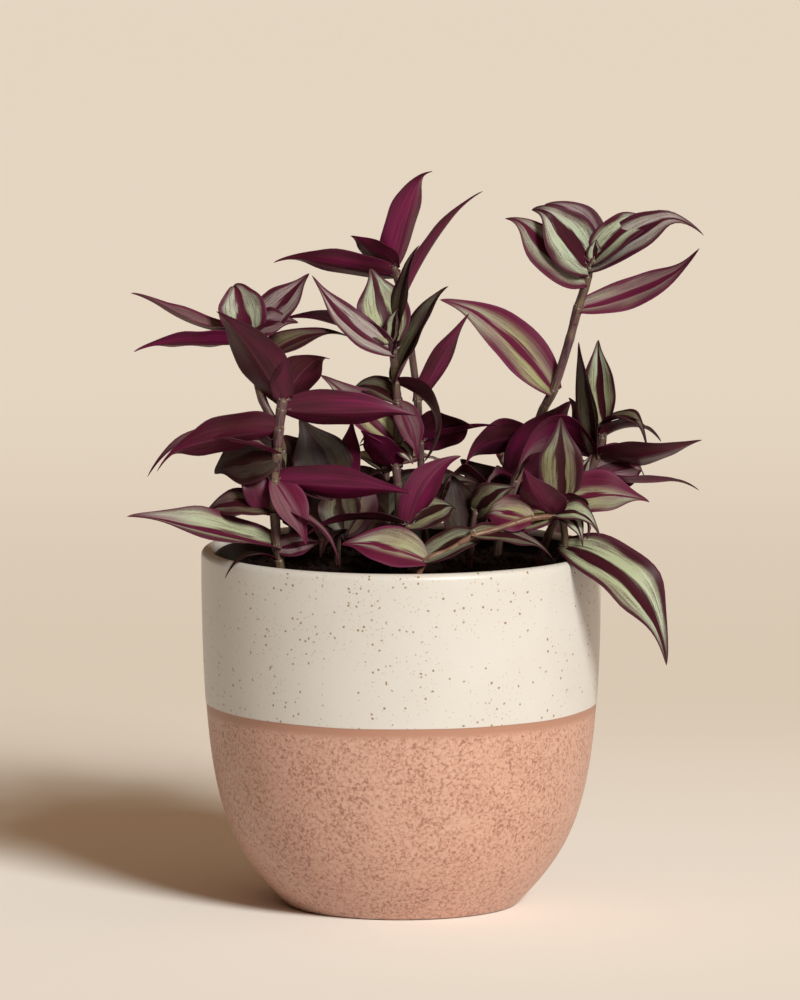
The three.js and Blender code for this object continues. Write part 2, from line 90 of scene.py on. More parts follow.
# A skin over a grid of rings: quads between neighbours round and along, and one flat face to
# close each end. Each corner's UV is the share round the ring and the row's own value, so the
# pattern meets at the seam.
def skin(grid, rowValues, roundValues=None):
    rows, ring = grid.shape[:2]
    row, column = np.meshgrid(np.arange(rows - 1), np.arange(ring), indexing="ij")
    row, column = row.ravel(), column.ravel()
    after = column + 1
    corners = [(row, column), (row, after), (row + 1, after), (row + 1, column)]
    quads = np.stack([r * ring + c % ring for r, c in corners], axis=1)
    around = np.arange(ring + 1) / ring if roundValues is None else roundValues
    uv = np.stack([np.stack([around[c], rowValues[r]], axis=1) for r, c in corners], axis=1)
    faces, uvs = quads.tolist(), [uv.reshape(-1, 2)]
    columns = np.arange(ring)
    for closing, end in (columns[::-1], 0), (columns, rows - 1):
        faces.append((end * ring + closing).tolist())
        uvs.append(np.stack([around[closing], np.full(ring, rowValues[end])], axis=1))
    return {"places": grid.reshape(-1, 3), "faces": faces, "uv": np.vstack(uvs),
            "slots": np.zeros(len(faces), int), "columns": column}


# One mesh object of several skins, riding on the plant's only body
def makePiece(name, skins, materials, nodes, attributes=()):
    places, faces, start = [], [], 0
    for part in skins:
        places.append(part["places"])
        faces += [[start + corner for corner in face] for face in part["faces"]]
        start += len(part["places"])
    mesh = bpy.data.meshes.new(name)
    mesh.from_pydata((np.vstack(places) * mm).tolist(), [], faces)
    for material in materials:
        mesh.materials.append(material)
    mesh.polygons.foreach_set("material_index", np.concatenate([part["slots"] for part in skins]))
    mesh.uv_layers.new(name="surface").data.foreach_set(
        "uv", np.vstack([part["uv"] for part in skins]).astype(np.float32).ravel())
    for attribute in attributes:
        values = np.concatenate([part[attribute] for part in skins]).astype(np.float32)
        kind, field = ("FLOAT", "value") if values.ndim == 1 else ("FLOAT_COLOR", "color")
        mesh.attributes.new(attribute, kind, "POINT").data.foreach_set(field, values.ravel())
    mesh.shade_smooth()
    mesh.validate()
    piece = bpy.data.objects.new(name, mesh)
    bpy.context.scene.collection.objects.link(piece)
    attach(piece, "root")
    if nodes:
        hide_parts(*nodes)
    return piece


# A profile of radius and height turned round the upright axis
def turned(profile, sides):
    turn = np.arange(sides) / sides * 2 * np.pi
    r, z = np.asarray(profile, float).T
    return np.stack([r[:, None] * np.cos(turn), r[:, None] * np.sin(turn),
                     np.repeat(z[:, None], sides, axis=1)], axis=2)


# Points of a cubic Bezier curve between its first and last point
def bezier(points, steps):
    t = np.linspace(0, 1, steps)[:, None]
    a, b, c, d = np.asarray(points, float)
    return (1 - t) ** 3 * a + 3 * (1 - t) ** 2 * t * b + 3 * (1 - t) * t * t * c + t ** 3 * d


# materials

# An sRGB hex colour as linear red, green, blue and alpha
def linear(hexColour):
    parts = [int(hexColour[i:i + 2], 16) / 255 for i in (1, 3, 5)]
    return [p / 12.92 if p <= 0.04045 else ((p + 0.055) / 1.055) ** 2.4 for p in parts] + [1]


# A node with its settings. Its inputs are a dictionary by name or number, or a list in the node's
# own order. Each takes a value, a hex colour, a socket, or a node, whose first enabled output it is.
def addNode(tree, kind, inputs=(), **settings):
    node = tree.nodes.new("ShaderNode" + kind)
    for key, value in settings.items():
        setattr(node, key, value)
    for key, value in inputs.items() if isinstance(inputs, dict) else enumerate(inputs):
        if isinstance(value, bpy.types.Node):
            value = next(socket for socket in value.outputs if socket.enabled)
        if isinstance(value, bpy.types.NodeSocket):
            tree.links.new(value, node.inputs[key])
        else:
            node.inputs[key].default_value = linear(value) if isinstance(value, str) else value
    return node


# A material named after the function that adds its nodes and returns its last shader
def makeMaterial(addShader):
    material = bpy.data.materials.new(addShader.__name__)
    material.use_nodes = True
    material.node_tree.nodes.clear()
    add = partial(addNode, material.node_tree)
    add("OutputMaterial", [addShader(add)])
    return material


# start + the sum of weight * pattern over the pairs of pattern and weight
def weightedSum(add, start, *pairs):
    for pattern, weight in pairs:
        start = add("Math", [pattern, weight, start], operation="MULTIPLY_ADD")
    return start


# Colours laid one over another, each covering what is below it by its own share
def layered(add, ground, *layers):
    for share, colour in layers:
        ground = add("Mix", {0: share, 6: ground, 7: colour}, data_type="RGBA")
    return ground


# Glazed stoneware, dipped twice, with a crisp line between the glazes. Iron in the clay bleeds
# through the pale glaze as small specks, more of them in some places than in others, and the pink
# glaze breaks into worm-like darker patches, but not in the thick band just under the line. Sizes
# in mm. Each kind of speck has its cell, share and radius in the cell, and a pair of numbers says
# from where to where a pattern comes in.
potLook = {
    "cream": "#D2CFCC", "creamShade": "#CAC5C0", "speck": "#8A734B", "speckSoft": "#AA9872",
    "pink": "#C59987", "pinkDark": "#986B5C", "pinkBand": "#AB7E6B", "pinkPale": "#C9A494",
    "specks": [[2.6, 0.30, 0.22], [1.3, 0.22, 0.20]], "speckEdge": 0.10, "speckMelt": 0.9,
    "speckCloud": 30, "speckGather": 2.4, "speckFade": 0.4,
    "patch": 1.2, "patchCloud": 14, "patchGather": 0.16, "paleWorms": [0.54, 0.42],
    "darkWorms": [0.58, 0.74], "bandEnd": [1.8, 5], "line": [-0.15, 0.15],
    "creamRoughness": 0.38, "pinkRoughness": 0.42, "relief": 0.1,
}


def stonewareGlaze(add):
    look = potLook
    place = add("TexCoord").outputs["Object"]
    cloud = add("TexNoise", {"Vector": place, "Scale": 1 / (look["speckCloud"] * mm), "Detail": 3})
    # the specks melt unevenly, so that they aren't round
    size = look["speckMelt"] * mm
    melt = add("TexNoise", {"Vector": place, "Scale": 1 / size, "Detail": 2}).outputs["Color"]
    drift = add("VectorMath", [melt, [0.5] * 3], operation="SUBTRACT")
    melted = add("VectorMath", [drift, [size] * 3, place], operation="MULTIPLY_ADD")
    gather = look["speckGather"]
    specks = []
    # a speck where the nearest cell point is close, in the share of cells whose own colour is high
    for cell, share, radius in look["specks"]:
        cells = add("TexVoronoi", {"Vector": melted, "Scale": 1 / (cell * mm)})
        chosen = add("SeparateColor", [cells.outputs["Color"]]).outputs[0]
        picked = weightedSum(add, -gather / 2, (chosen, 1), (cloud, gather))
        grown = add("MapRange", [picked, share, share + look["speckFade"], 0, radius])
        near = add("Math", [grown, cells.outputs["Distance"]], operation="SUBTRACT")
        specks.append(add("MapRange", [near, 0, look["speckEdge"]]))
    cream = layered(add, look["cream"], (cloud, look["creamShade"]), (specks[1], look["speckSoft"]),
                    (specks[0], look["speck"]))

    worms = add("TexNoise", {"Vector": place, "Scale": 1 / (look["patch"] * mm), "Detail": 2,
                             "Roughness": 0.6, "Distortion": 0.7})
    denser = add("TexNoise", {"Vector": place, "Scale": 1 / (look["patchCloud"] * mm), "Detail": 2})
    worms = weightedSum(add, worms, (denser, look["patchGather"]))
    pale = add("MapRange", [worms, *look["paleWorms"]])
    patches = add("MapRange", [worms, *look["darkWorms"]])
    drop = add("Attribute", attribute_name="drop").outputs["Fac"]
    clear = add("MapRange", [drop, *look["bandEnd"]], interpolation_type="SMOOTHSTEP")
    broken = add("Math", [patches, clear], operation="MULTIPLY")
    ground = layered(add, look["pink"], (pale, look["pinkPale"]))
    pink = layered(add, look["pinkBand"], (clear, ground), (broken, look["pinkDark"]))

    below = add("MapRange", [drop, *look["line"]])
    relief = add("Math", [broken, cloud], operation="ADD")
    return add("BsdfPrincipled", {
        "Base Color": layered(add, cream, (below, pink)), "IOR": 1.52,
        "Roughness": add("Mix", {0: below, 2: look["creamRoughness"], 3: look["pinkRoughness"]}),
        "Normal": add("Bump", {"Strength": 0.2, "Distance": look["relief"] * mm, "Height": relief})})


# Blow-moulded polypropylene: black, dull, with a faint orange-peel from the mould
def mouldedPolypropylene(add):
    place = add("TexCoord").outputs["Object"]
    grain = add("TexNoise", {"Vector": place, "Scale": 0.9 / mm, "Detail": 2})
    return add("BsdfPrincipled", {
        "Base Color": layered(add, "#100B09", (grain, "#1B1512")), "Roughness": 0.55, "IOR": 1.49,
        "Normal": add("Bump", {"Strength": 0.2, "Distance": 0.2 * mm, "Height": grain})})


# Moist peat potting mix: nearly black crumbs with browner fibres, quite dull. The near-black is darker
# than peat is, painted shade of the deep inside of the pot
def pottingMix(add):
    clods = add("TexNoise", {"Vector": add("TexCoord").outputs["Object"], "Scale": 0.26 / mm,
                             "Detail": 5, "Roughness": 0.7})
    spread = add("MapRange", [clods, 0.35, 0.68])
    return add("BsdfPrincipled", {
        # the near-black base colour is partly painted shade of the pot's deep interior
        "Base Color": layered(add, "#0B0403", (spread, "#24110B")), "Roughness": 0.95,
        "Specular IOR Level": 0.15,
        "Normal": add("Bump", {"Strength": 0.9, "Distance": mm, "Height": clods})})


# The colours of a leaf, and for each pattern from where to where it comes in, and then how much
# of it there is at either end, if that isn't 0 and 1
leafColours = {
    "bandPearl": "#AE9CA2", "bandMint": "#AFBDA6", "bandCream": "#9FA072", "bandMauve": "#82606A",
    "bandShade": "#65524F", "bodyDark": "#26100F", "bodyBright": "#5E1B37", "margin": "#43232B",
    "marginBright": "#753655", "underWine": "#451A22", "underMagenta": "#6E1643", "midrib": "#804460",
    "underMarginShade": "#38081E", "underVein": "#230A12", "glow": "#A01B55", "sheen": "#D9A0AC",
    "innerSide": [0.20, 0.33], "outerSide": [0.64, 0.84, 1, 0], "tip": [0.74, 0.97, 1, 0.1],
    "leanSide": [-0.24, -0.02], "freshness": [0.35, 0.95, 1, 0.5], "mauve": [0.34, 0.68, 0, 0.85],
    "thinAir": [0.44, 0.68, 0.85, 0], "nearMargin": [0.40, 0.5, 0, 0.75],
    "streakShade": [0.3, 0.7, 0.75, 1.2], "underMidrib": [0, 0.05, 0.35, 0],
    "underEdgeShade": [0.16, 0.48, 0, 0.5], "underLines": [0.62, 0.34, 0, 0.5],
    "sparkle": 0.6, "relief": 0.2,
}


# Where a point lies on a blade: its share along, how far to one side of the midrib, how far from
# it on either side, and the place that its patterns use, in which number tells leaves apart
def onBlade(add, number):
    across, along, _ = add("SeparateXYZ", [add("UVMap", uv_map="surface")]).outputs
    sideways = add("Math", [across, 0.5], operation="SUBTRACT")
    fromMidrib = add("Math", [sideways], operation="ABSOLUTE")
    return along, sideways, fromMidrib, add("CombineXYZ", [across, along, number])


# Noise stretched over a blade, by its waves across it, along it and from one leaf to the next
def bladeNoise(add, place, waves, detail, roughness=0.5):
    stretched = add("VectorMath", [place, waves], operation="MULTIPLY")
    return add("TexNoise", {"Vector": stretched, "Scale": 1, "Detail": detail, "Roughness": roughness})


# The upper skin of a leaf. Air under the clear outer cells makes two pale bands, one each side of
# the dark middle stripe, broken up along the veins; the rest is wine purple. The leaf's look says
# how strong the bands are, their hue from pearl over mint to cream-green, and how bright the
# purple is. Towards the tip the bands turn from green to pearl.
def leafUpperSkin(add):
    colours = leafColours
    look = add("Attribute", attribute_name="look")
    strength, greenness, brightness = add("SeparateColor", [look.outputs["Color"]]).outputs[:3]
    along, sideways, fromMidrib, place = onBlade(add, look.outputs["Alpha"])
    streaks = bladeNoise(add, place, (26, 3.2, 37), 4, 0.6)
    veins = bladeNoise(add, place, (75, 2.6, 37), 2)
    sway = bladeNoise(add, place, (3, 2.4, 37), 1)
    cells = add("TexNoise", {"Vector": add("TexCoord").outputs["Object"],
                             "Scale": 1 / (colours["sparkle"] * mm), "Detail": 2})

    # The band is strength times a smooth step at its inner and outer side and at the tip. Its sides
    # are ragged, and where a leaf leans, the band fades on one half and is wider on the other.
    leaning = add("Attribute", attribute_name="lean").outputs["Fac"]
    wider = add("Math", [leaning], operation="ABSOLUTE")
    edge = weightedSum(add, -0.45, (fromMidrib, 2), (streaks, 0.34), (sway, 0.56))
    inside = weightedSum(add, edge, (wider, 0.16))
    outside = weightedSum(add, edge, (wider, -0.14))
    leanedOver = add("Math", [sideways, leaning], operation="MULTIPLY")
    band = strength
    for at, span in ((inside, "innerSide"), (outside, "outerSide"), (along, "tip"),
                     (leanedOver, "leanSide")):
        factor = add("MapRange", [at, *colours[span]], interpolation_type="SMOOTHSTEP")
        band = add("Math", [band, factor], operation="MULTIPLY")

    # its hue is pearl at 0, mint at a half and cream-green at 1, and nearer pearl past mid-length
    fresh = add("MapRange", [along, *colours["freshness"]], interpolation_type="SMOOTHSTEP")
    green = add("Math", [greenness, fresh], operation="MULTIPLY")
    # mauve where the purple shows through the air layer: in clouds, most on weak or bright leaves
    mauve = weightedSum(add, 0.2, (sway, 1), (strength, -0.45), (brightness, 0.5), (fresh, -0.22))
    # darker streaks where the air layer is thin, fewer of them near the midrib
    airy = weightedSum(add, -0.09, (streaks, 1), (fromMidrib, -0.68), (veins, 0.5), (cells, 0.25))
    hue = layered(add, colours["bandPearl"],
                  (add("MapRange", [green, 0, 0.5]), colours["bandMint"]),
                  (add("MapRange", [green, 0.5, 1]), colours["bandCream"]),
                  (add("MapRange", [mauve, *colours["mauve"]]), colours["bandMauve"]),
                  (add("MapRange", [airy, *colours["thinAir"]]), colours["bandShade"]))

    margin = layered(add, colours["margin"], (brightness, colours["marginBright"]))
    body = layered(add, colours["bodyDark"], (brightness, colours["bodyBright"]),
                   (add("MapRange", [fromMidrib, *colours["nearMargin"]]), margin))
    shade = add("MapRange", [streaks, *colours["streakShade"]])
    body = add("Mix", {0: 1, 6: body, 7: shade}, data_type="RGBA", blend_type="MULTIPLY")
    relief = weightedSum(add, streaks, (cells, 0.4))
    bump = add("Bump", {"Strength": 0.4, "Distance": colours["relief"] * mm, "Height": relief})
    skinShader = add("BsdfPrincipled", {
        "Base Color": layered(add, body, (band, hue)), "Roughness": 0.42, "IOR": 1.42,
        "Specular IOR Level": 0.15, "Normal": bump})
    return add("MixShader", [0.05, skinShader, add("BsdfTranslucent", [colours["glow"]])])


# The underside of a leaf: wine to magenta in clouds, silky, with faint lengthwise veins, a slightly
# paler midrib, and darker margins that are painted shade where the curved blade turns from the light
def leafUnderSkin(add):
    colours = leafColours
    under = add("Attribute", attribute_name="under").outputs["Fac"]
    _, _, fromMidrib, place = onBlade(add, under)
    streaks = bladeNoise(add, place, (16, 2, 53), 3)
    clouds = bladeNoise(add, place, (1.8, 2.2, 91), 1)
    clouds = add("Math", [clouds, 2.4, -1.2], operation="MULTIPLY_ADD")
    reddish = add("Math", [under, clouds], operation="ADD", use_clamp=True)
    # darker margins: painted shade where the curved blade turns from the light
    paler, nearMargin = [add("MapRange", [fromMidrib, *colours[span]], interpolation_type="SMOOTHSTEP")
                         for span in ("underMidrib", "underEdgeShade")]
    lines = add("MapRange", [streaks, *colours["underLines"]])
    colour = layered(add, colours["underWine"], (reddish, colours["underMagenta"]),
                     (paler, colours["midrib"]), (nearMargin, colours["underMarginShade"]),
                     (lines, colours["underVein"]))
    bump = add("Bump", {"Strength": 0.25, "Distance": colours["relief"] * mm, "Height": streaks})
    skinShader = add("BsdfPrincipled", {
        "Base Color": colour, "Roughness": 0.4, "IOR": 1.42, "Specular IOR Level": 0.3, "Normal": bump,
        "Sheen Weight": 0.1, "Sheen Roughness": 0.35, "Sheen Tint": colours["sheen"]})
    through = weightedSum(add, 0.02, (under, 0.05))
    return add("MixShader", [through, skinShader, add("BsdfTranslucent", [colours["glow"]])])


# Fleshy stem: mauve-brown skin streaked lengthwise, paler and yellow-green around each joint
stemColours = {
    "mauve": "#604347", "olive": "#5E4D3C", "trailing": "#7D5A48", "joint": "#877A56",
    "streak": "#331B24", "oliveCloud": [0.42, 0.6], "streakEdge": [0.47, 0.62, 0, 0.8],
}


def fleshyStem(add):
    colours = stemColours
    around, climb, _ = add("SeparateXYZ", [add("UVMap", uv_map="surface")]).outputs
    turn = add("Math", [around, 2 * math.pi], operation="MULTIPLY")
    place = add("CombineXYZ", [add("Math", [turn], operation="COSINE"),
                               add("Math", [turn], operation="SINE"),
                               add("Math", [climb, 6], operation="MULTIPLY")])
    streaks = add("TexNoise", {"Vector": place, "Scale": 2.6, "Detail": 4, "Roughness": 0.6})
    cloud = add("TexNoise", {"Vector": add("TexCoord").outputs["Object"], "Scale": 0.06 / mm,
                             "Detail": 2})
    old, joint = [add("Attribute", attribute_name=name).outputs["Fac"] for name in ("old", "joint")]
    colour = layered(add, colours["mauve"],
                     (add("MapRange", [cloud, *colours["oliveCloud"]]), colours["olive"]),
                     (old, colours["trailing"]), (joint, colours["joint"]),
                     (add("MapRange", [streaks, *colours["streakEdge"]]), colours["streak"]))
    return add("BsdfPrincipled", {
        "Base Color": colour, "Roughness": 0.42, "IOR": 1.42,
        "Normal": add("Bump", {"Strength": 0.4, "Distance": 0.2 * mm, "Height": streaks})})


# The fine dry hairs at the mouth of a sheath: pale, so they are light against the stem
def leafHair(add):
    return add("BsdfPrincipled", {"Base Color": "#D8CFC0", "Roughness": 0.5, "IOR": 1.42})


# leafy stems

# What the words for a leaf mean: how strong its bands are, their hue (0 pearl, 0.5 mint, 1
# cream-green), how bright its purple is on top, from wine 0 to magenta 1 underneath, and how far
# the bands lean to one half of the blade, by its sign
leafLooks = {
    "silver": [1, 0.64, 0.3, 0.4, 0], "mint": [1, 0.9, 0.2, 0.3, 0],
    "striped": [0.95, 0.4, 0.55, 0.5, 0], "streak": [0.45, 0.1, 1, 0.9, 0.9],
    "cream": [1, 1, 0.65, 0.5, 0], "creamAbove": [1, 1, 0.9, 0.6, 1.2],
    "creamBelow": [1, 0.95, 0.8, 0.5, -0.4], "pearl": [0.9, 0.15, 0.45, 0.5, 0],
    "blush": [0.75, 0.75, 0.65, 0.5, 0], "blushAbove": [0.85, 0.7, 0.65, 0.5, 0.8],
    "cloudy": [0.75, 0.5, 0.6, 0.6, 0], "rose": [0.7, 0.8, 0.95, 0.85, -0.5],
    "lilac": [0.65, 0.1, 0.45, 0.4, 0], "sage": [0.45, 0.9, 0.1, 0.2, 0],
    "olive": [0.28, 0.9, 0.1, 0.15, 0], "mauve": [0.35, 0.4, 0.7, 0.6, 0],
    "wine": [0.15, 0.3, 0.4, 0.5, 0], "brown": [0.07, 0.6, 0.1, 0.1, 0],
    # dark: almost no bands and the darkest purple, partly the leaf's own colour and partly painted
    # shade of leaves deep in the foliage
    "night": [0.4, 0.65, 0, 0.05, 0], "dark": [0.07, 0.9, 0, 0.1, 0],
    "magenta": [0.2, 0.2, 0.95, 1, 0], "berry": [0.2, 0.2, 0.7, 0.7, 0],
}

# Each stem: the CAD node it stands for, thickness in mm, its joints from the root up, and its
# leaves. Each leaf: the joint it grows from, its reach from there to the tip, width, where its
# upper side looks, arch of the midrib, sideways bend, drop of the hooked tip, fold of each half in
# degrees, and its look. A branch belongs to the node before it. Right, away and up, in mm.
stems = [
    ["stem_front_left", 3.8,
     [[-43, -36, 112], [-46, -38, 139], [-47, -38, 153], [-47, -38, 164], [-46, -38, 174],
      [-45.5, -38, 183], [-44.5, -38, 190.5], [-44, -38.5, 194]],
     [[1, [-55, -11, 16], 22, [0, -0.5, 1], -1, 0, 3, 35, "blushAbove"],
      [2, [-27, 9, -1], 15, [0, -0.8, 1], 3, 0, 3, 25, "olive"],
      [5, [-46, -22, -7], 22, [0, 1, 0.6], 2, 0, 6, 25, "wine"],
      [4, [-48, -4, 0], 16, [0, -0.2, 1], 6, 0, 8, 30, "mauve"],
      [4, [-24, 10, -7], 20, [0, -1, 0.4], 3, 0, 2, 15, "brown"],
      [2, [-9, 3, 23], 18, [-0.5, 1, 0.1], 0, 0, 1, 20, "magenta"],
      [3, [51, -14, -1], 17, [0, 1, 0.6], -1, 0, 2, 30, "magenta"],
      [3, [12, -9, -22], 15, [0.4, -1, 0.3], 2, 0, 1, 30, "streak"],
      [6, [50, 6, 0], 19, [0, 1, 0.6], -2, 0, 3, 32, "wine"],
      [7, [-24, -16, 37], 21, [0.2, 1, 0.6], 2, 0, 2, 22, "brown"],
      [7, [17, -5, 19], 20, [-0.4, 0.9, 0.5], 3, 0, 3, 15, "brown"],
      [2, [25, -15, -17], 8, [0, 0, 1], 5, 0, 3, 30, "mauve"],
      [0.8, [-20, -8, -4], 6, [0, 0, 1], 5.5, 0, 1, 20, "dark"],
      [1, [17, -5, 3], 9, [0.2, -1, 0.3], 1, 0, 0, 20, "lilac"]]],
    ["branch_front_left", 3.4,
     [[-45.5, -38, 183], [-51.5, -34, 194], [-54.4, -28, 205], [-56.3, -24, 213.5], [-57.4, -23, 217]],
     [[4, [-5, 4, 21], 20, [0.1, -1, 0.2], 3, 0, 5, 28, "striped"],
      [4, [23, 6, 23], 18, [-0.4, -1, 0.6], 2, 3, 1, 25, "lilac"],
      [4, [-42, -6, 20], 15, [0, -0.2, 1], -5, 0, 4, 35, "mauve"],
      [3, [-43, -8, 1], 15, [0, 0.6, 1], 0, 0, 3, 30, "rose"],
      [4, [19, -7, 6], 15, [0.2, -0.7, 0.7], 2, 0, 1, 20, "lilac"],
      [2, [35, 22, 11], 18, [0, -0.3, 1], 4, 0, 2, 30, "olive"]]],
    ["stem_centre", 3.1,
     [[-1, -6, 112], [-1, -8, 145], [-1.3, -8, 158.5], [-1.9, -8, 165], [-1.7, -8, 174],
      [-1.7, -8, 189.5], [-2, -8, 197], [-3, -8, 208.7], [-3.5, -8.5, 213]],
     [[7, [-30, -5, 30], 14, [0.3, -1, 0.6], -1, -4, 1, 28, "pearl"],
      [8, [-8, 5, 28], 21, [0.1, -1, 0.3], -3, 0, 2, 18, "silver"],
      [8, [2, -4, 13], 8, [-0.5, -1, 0.2], 0, 0, 1, 30, "silver"],
      [7, [8, 2, 42], 15, [-1, -0.5, 0.2], 0, 0, 3, 30, "olive"],
      [7, [-41, 11, 13], 19, [0, 0.6, 1], 3, 0, 2, 25, "wine"],
      [4, [-28, -4, 28], 17, [0.4, -1, 0.6], -1, 0, 2, 30, "cream"],
      [5, [-18, 12, 3], 14, [0, -0.5, 1], 4, 0, 2, 25, "olive"],
      [5, [8, -5, -20], 12, [0.5, -1, 0.3], 2, 0, 1, 30, "mauve"],
      [3, [-13, -8, 16], 15, [0.5, 1, 0.5], 0, 0, 1, 20, "magenta"],
      [4, [6, -4, -7], 7, [0.5, -1, 0.3], 1, 0, 0, 25, "silver"],
      [6, [11, -14, -27], 18, [1, 0.3, 0.6], 9, 0, 1, 25, "dark"],
      [6, [18, -2, 39], 17, [-1, -0.4, 0.3], 0, 0, 3, 35, "olive"]]],
    ["stem_centre_back", 2.9,
     [[10, 14, 112], [8, 12, 150], [7, 11, 172], [6.1, 10, 188], [3.5, 10, 208.7], [0.6, 9, 225.8],
      [-1.7, 8, 235.4], [-2.8, 8, 238.4]],
     [[7, [12, -6, 42], 18.5, [-0.7, 0.8, 0.3], 1, 0, 6, 24, "magenta"],
      [7, [-16, -8, 14], 15, [0.5, 0.9, 0.8], 0, 0, 1, 20, "wine"],
      [5, [29, 2, 43], 11, [-0.8, 0.5, 0.4], 3, 0, 2, 30, "mauve"],
      [6, [-46, -10, 10], 14.5, [0, 0.9, 0.8], 0, 0, 4, 25, "wine"],
      [3, [19, 0, 34], 11, [-0.6, 0.9, 0.4], 0, 0, 1, 22, "mauve"],
      [2, [20, -10, 10], 22, [-0.3, 1, 0.5], 3, 0, 3, 12, "dark"],
      [2, [30, -4, 8], 9, [0, 0.3, 1], 1, 0, 1, 30, "mauve"],
      [1, [20, -7, 9], 17, [0, -1, 0.8], 3, 0, 2, 20, "olive"],
      [2, [-22, 14, 2], 18, [0, 0.6, 1], 5, 0, 4, 20, "dark"]]],
    ["stem_front_centre", 2.8,
     [[4, -30, 112], [3, -33, 135], [2.5, -36, 147]],
     [[2, [19, 6, 27], 15, [-0.4, 1, 0.4], 0, 4, 2, 22, "berry"],
      [2, [-40, 1, -3.5], 12, [0, 0.2, 1], 4, 0, 2, 30, "dark"],
      [2, [18, 14, 6], 15, [0, -1, 0.8], 3, 0, 2, 20, "sage"],
      [1, [-20, -14, 5], 12, [0, -0.8, 1], 3, 0, 2, 25, "silver"],
      [1, [-18, 10, 8], 14, [0, -0.8, 1], 3, 0, 2, 25, "dark"]]],
    ["stem_trailing", 2.4,
     [[2, -56, 112], [8.7, -57, 136.5], [18, -55, 140.5], [26.5, -53, 145.5], [33, -51, 147],
      [47.7, -46, 151], [57.4, -41, 151.5]],
     [[1, [-31, 8, 6], 20, [0.1, -0.9, 0.8], 3, 0, 1, 30, "creamAbove"],
      [1, [26, 14, 9], 15, [-0.2, -0.9, 1], 3, 0, 2, 25, "night"],
      [3, [30, 8, -8], 16, [0, -0.5, 1], 3, 0, 2, 25, "sage"],
      [5, [-18, 6, 2], 16, [0.1, -1, 0.6], 2, 0, 6, 15, "creamAbove"],
      [6, [-12, -12, 20], 19, [0.4, 1, 0.6], -4, 0, 1, 22, "mauve"],
      [6, [-27, 4, -5], 16, [0, -0.6, 1], -1, 0, 1, 20, "cream"],
      [6, [16, -8, -4], 13, [0.4, -0.8, 0.8], 4, 0, 3, 20, "silver"],
      [6, [10, -7, -9], 9, [0.4, -0.8, 0.8], 4, 0, 2, 20, "silver"]]],
    ["stem_front_right", 2.9,
     [[49, -29, 112], [60.5, -29.5, 138], [60, -31, 149], [59.2, -31, 155.2]],
     [[3, [33, -1, 1], 23, [0, -0.9, 0.8], 3, 0, 1, 25, "creamAbove"],
      [1, [38, -8.5, -43], 26, [0.6, -1, 0.6], 12.5, -2.5, 0, 20, "mint"],
      [3, [10, -8, -12], 16, [0.8, 0.6, 0.6], 4, 0, 1, 20, "wine"],
      [3, [0, 4, 32], 18, [0, -1, 0.2], 0, 0, 1, 20, "sage"]]],
    ["stem_right", 3.1,
     [[48, -8, 112], [55, -8, 140], [63, -7, 153], [70, -6, 162], [73, -5, 169], [75, -5, 176],
      [76, -5, 181]],
     [[4, [-8, -6, 45], 14, [-0.7, -0.6, 0.2], -2, 0, 2, 35, "olive"],
      [6, [-3, 2, 33], 15, [-0.5, -1, 0.2], 0, 0, 2, 30, "silver"],
      [4, [39, -14, 9], 19, [0, 0.8, 1], -4, 0, 1, 25, "brown"],
      [5, [22, -3, 1], 17, [0, 0.4, 1], 4, 0, 2, 25, "dark"],
      [6, [16, -8, -4], 12, [0, -0.2, 1], 5, 0, 5, 30, "olive"],
      [3, [41, -12, 2], 13, [0, 0.25, 1], -3, 0, 6, 30, "mauve"],
      [3, [22, 10, 3], 19, [0.2, -1, 0.5], 4, 0, 6, 15, "lilac"],
      [2, [8, -3, 18], 9, [-0.3, -1, 0.2], 0, 0, 1, 25, "silver"],
      [4, [-30, -2, -4], 22, [0, 0.9, 0.8], 13, 0, 2, 20, "magenta"],
      [4, [-10, 8, 22], 15, [0.5, 0.9, 0.2], 0, 0, 1, 20, "mauve"]]],
    ["stem_right_tall", 3.5,
     [[34, 24, 112], [38, 24, 140], [43, 24, 156], [49, 24, 172], [53.3, 24, 183], [57, 24, 190.2],
      [63.3, 24, 209.8], [66.3, 24, 221.4], [68.9, 24, 229.3], [70.7, 24, 236.8], [72.2, 24, 239.4]],
     [[9, [-19.5, -7, 27.5], 23, [0.3, -1, 0.5], 1, -1, 7, 22, "silver"],
      [10, [-18, 5, 23], 16, [0.3, -1, 0.4], 0, 5, 3, 22, "lilac"],
      [8.5, [-28.5, -5, 29], 20, [0.4, -1, 0.6], 0, -4, 8, 12, "cloudy"],
      [10, [26, 6, 15], 16, [0, -1, 0.8], 8, 0, 2, 30, "silver"],
      [9, [39, -8, 25], 17, [0, -1, 0.8], 2, 0, 15, 28, "pearl"],
      [10, [1, -3, 9], 7, [0, -1, 0], 0, 0, 1, 30, "silver"],
      [10, [20, -2, 13], 12, [0, -1, 0.8], 3, 0, 1, 30, "silver"],
      [7, [46, -6, 21], 13.5, [0, -1, 0.7], -7, 0, -3, 22, "rose"],
      [5, [-42, -8, 37], 22, [0.4, -1, 0.7], 0, 5, 2, 18, "creamBelow"],
      [3, [-26, -9, -8], 20, [0, 0.9, 0.8], 5, 0, 3, 20, "wine"],
      [2, [16, 24, 14], 19, [0, 0.6, 1], 4, 0, 3, 20, "dark"],
      [2, [20.5, -6, 32], 22, [-0.3, 1, 0.2], 0, 0, 1, 20, "berry"]]],
    ["stem_left_back", 3,
     [[-24, -6, 112], [-24, -8, 140], [-24, -8, 155]],
     [[2, [-14, 4, 29], 24, [0.2, -1, 0.3], 0, 0, 1, 20, "dark"],
      [2, [-20, 10, 22], 23, [0.2, -1, 0.4], 0, 0, 1, 20, "dark"],
      [2, [6, 8, 28], 14, [0.6, 0.8, 0.2], 0, 0, 1, 20, "magenta"],
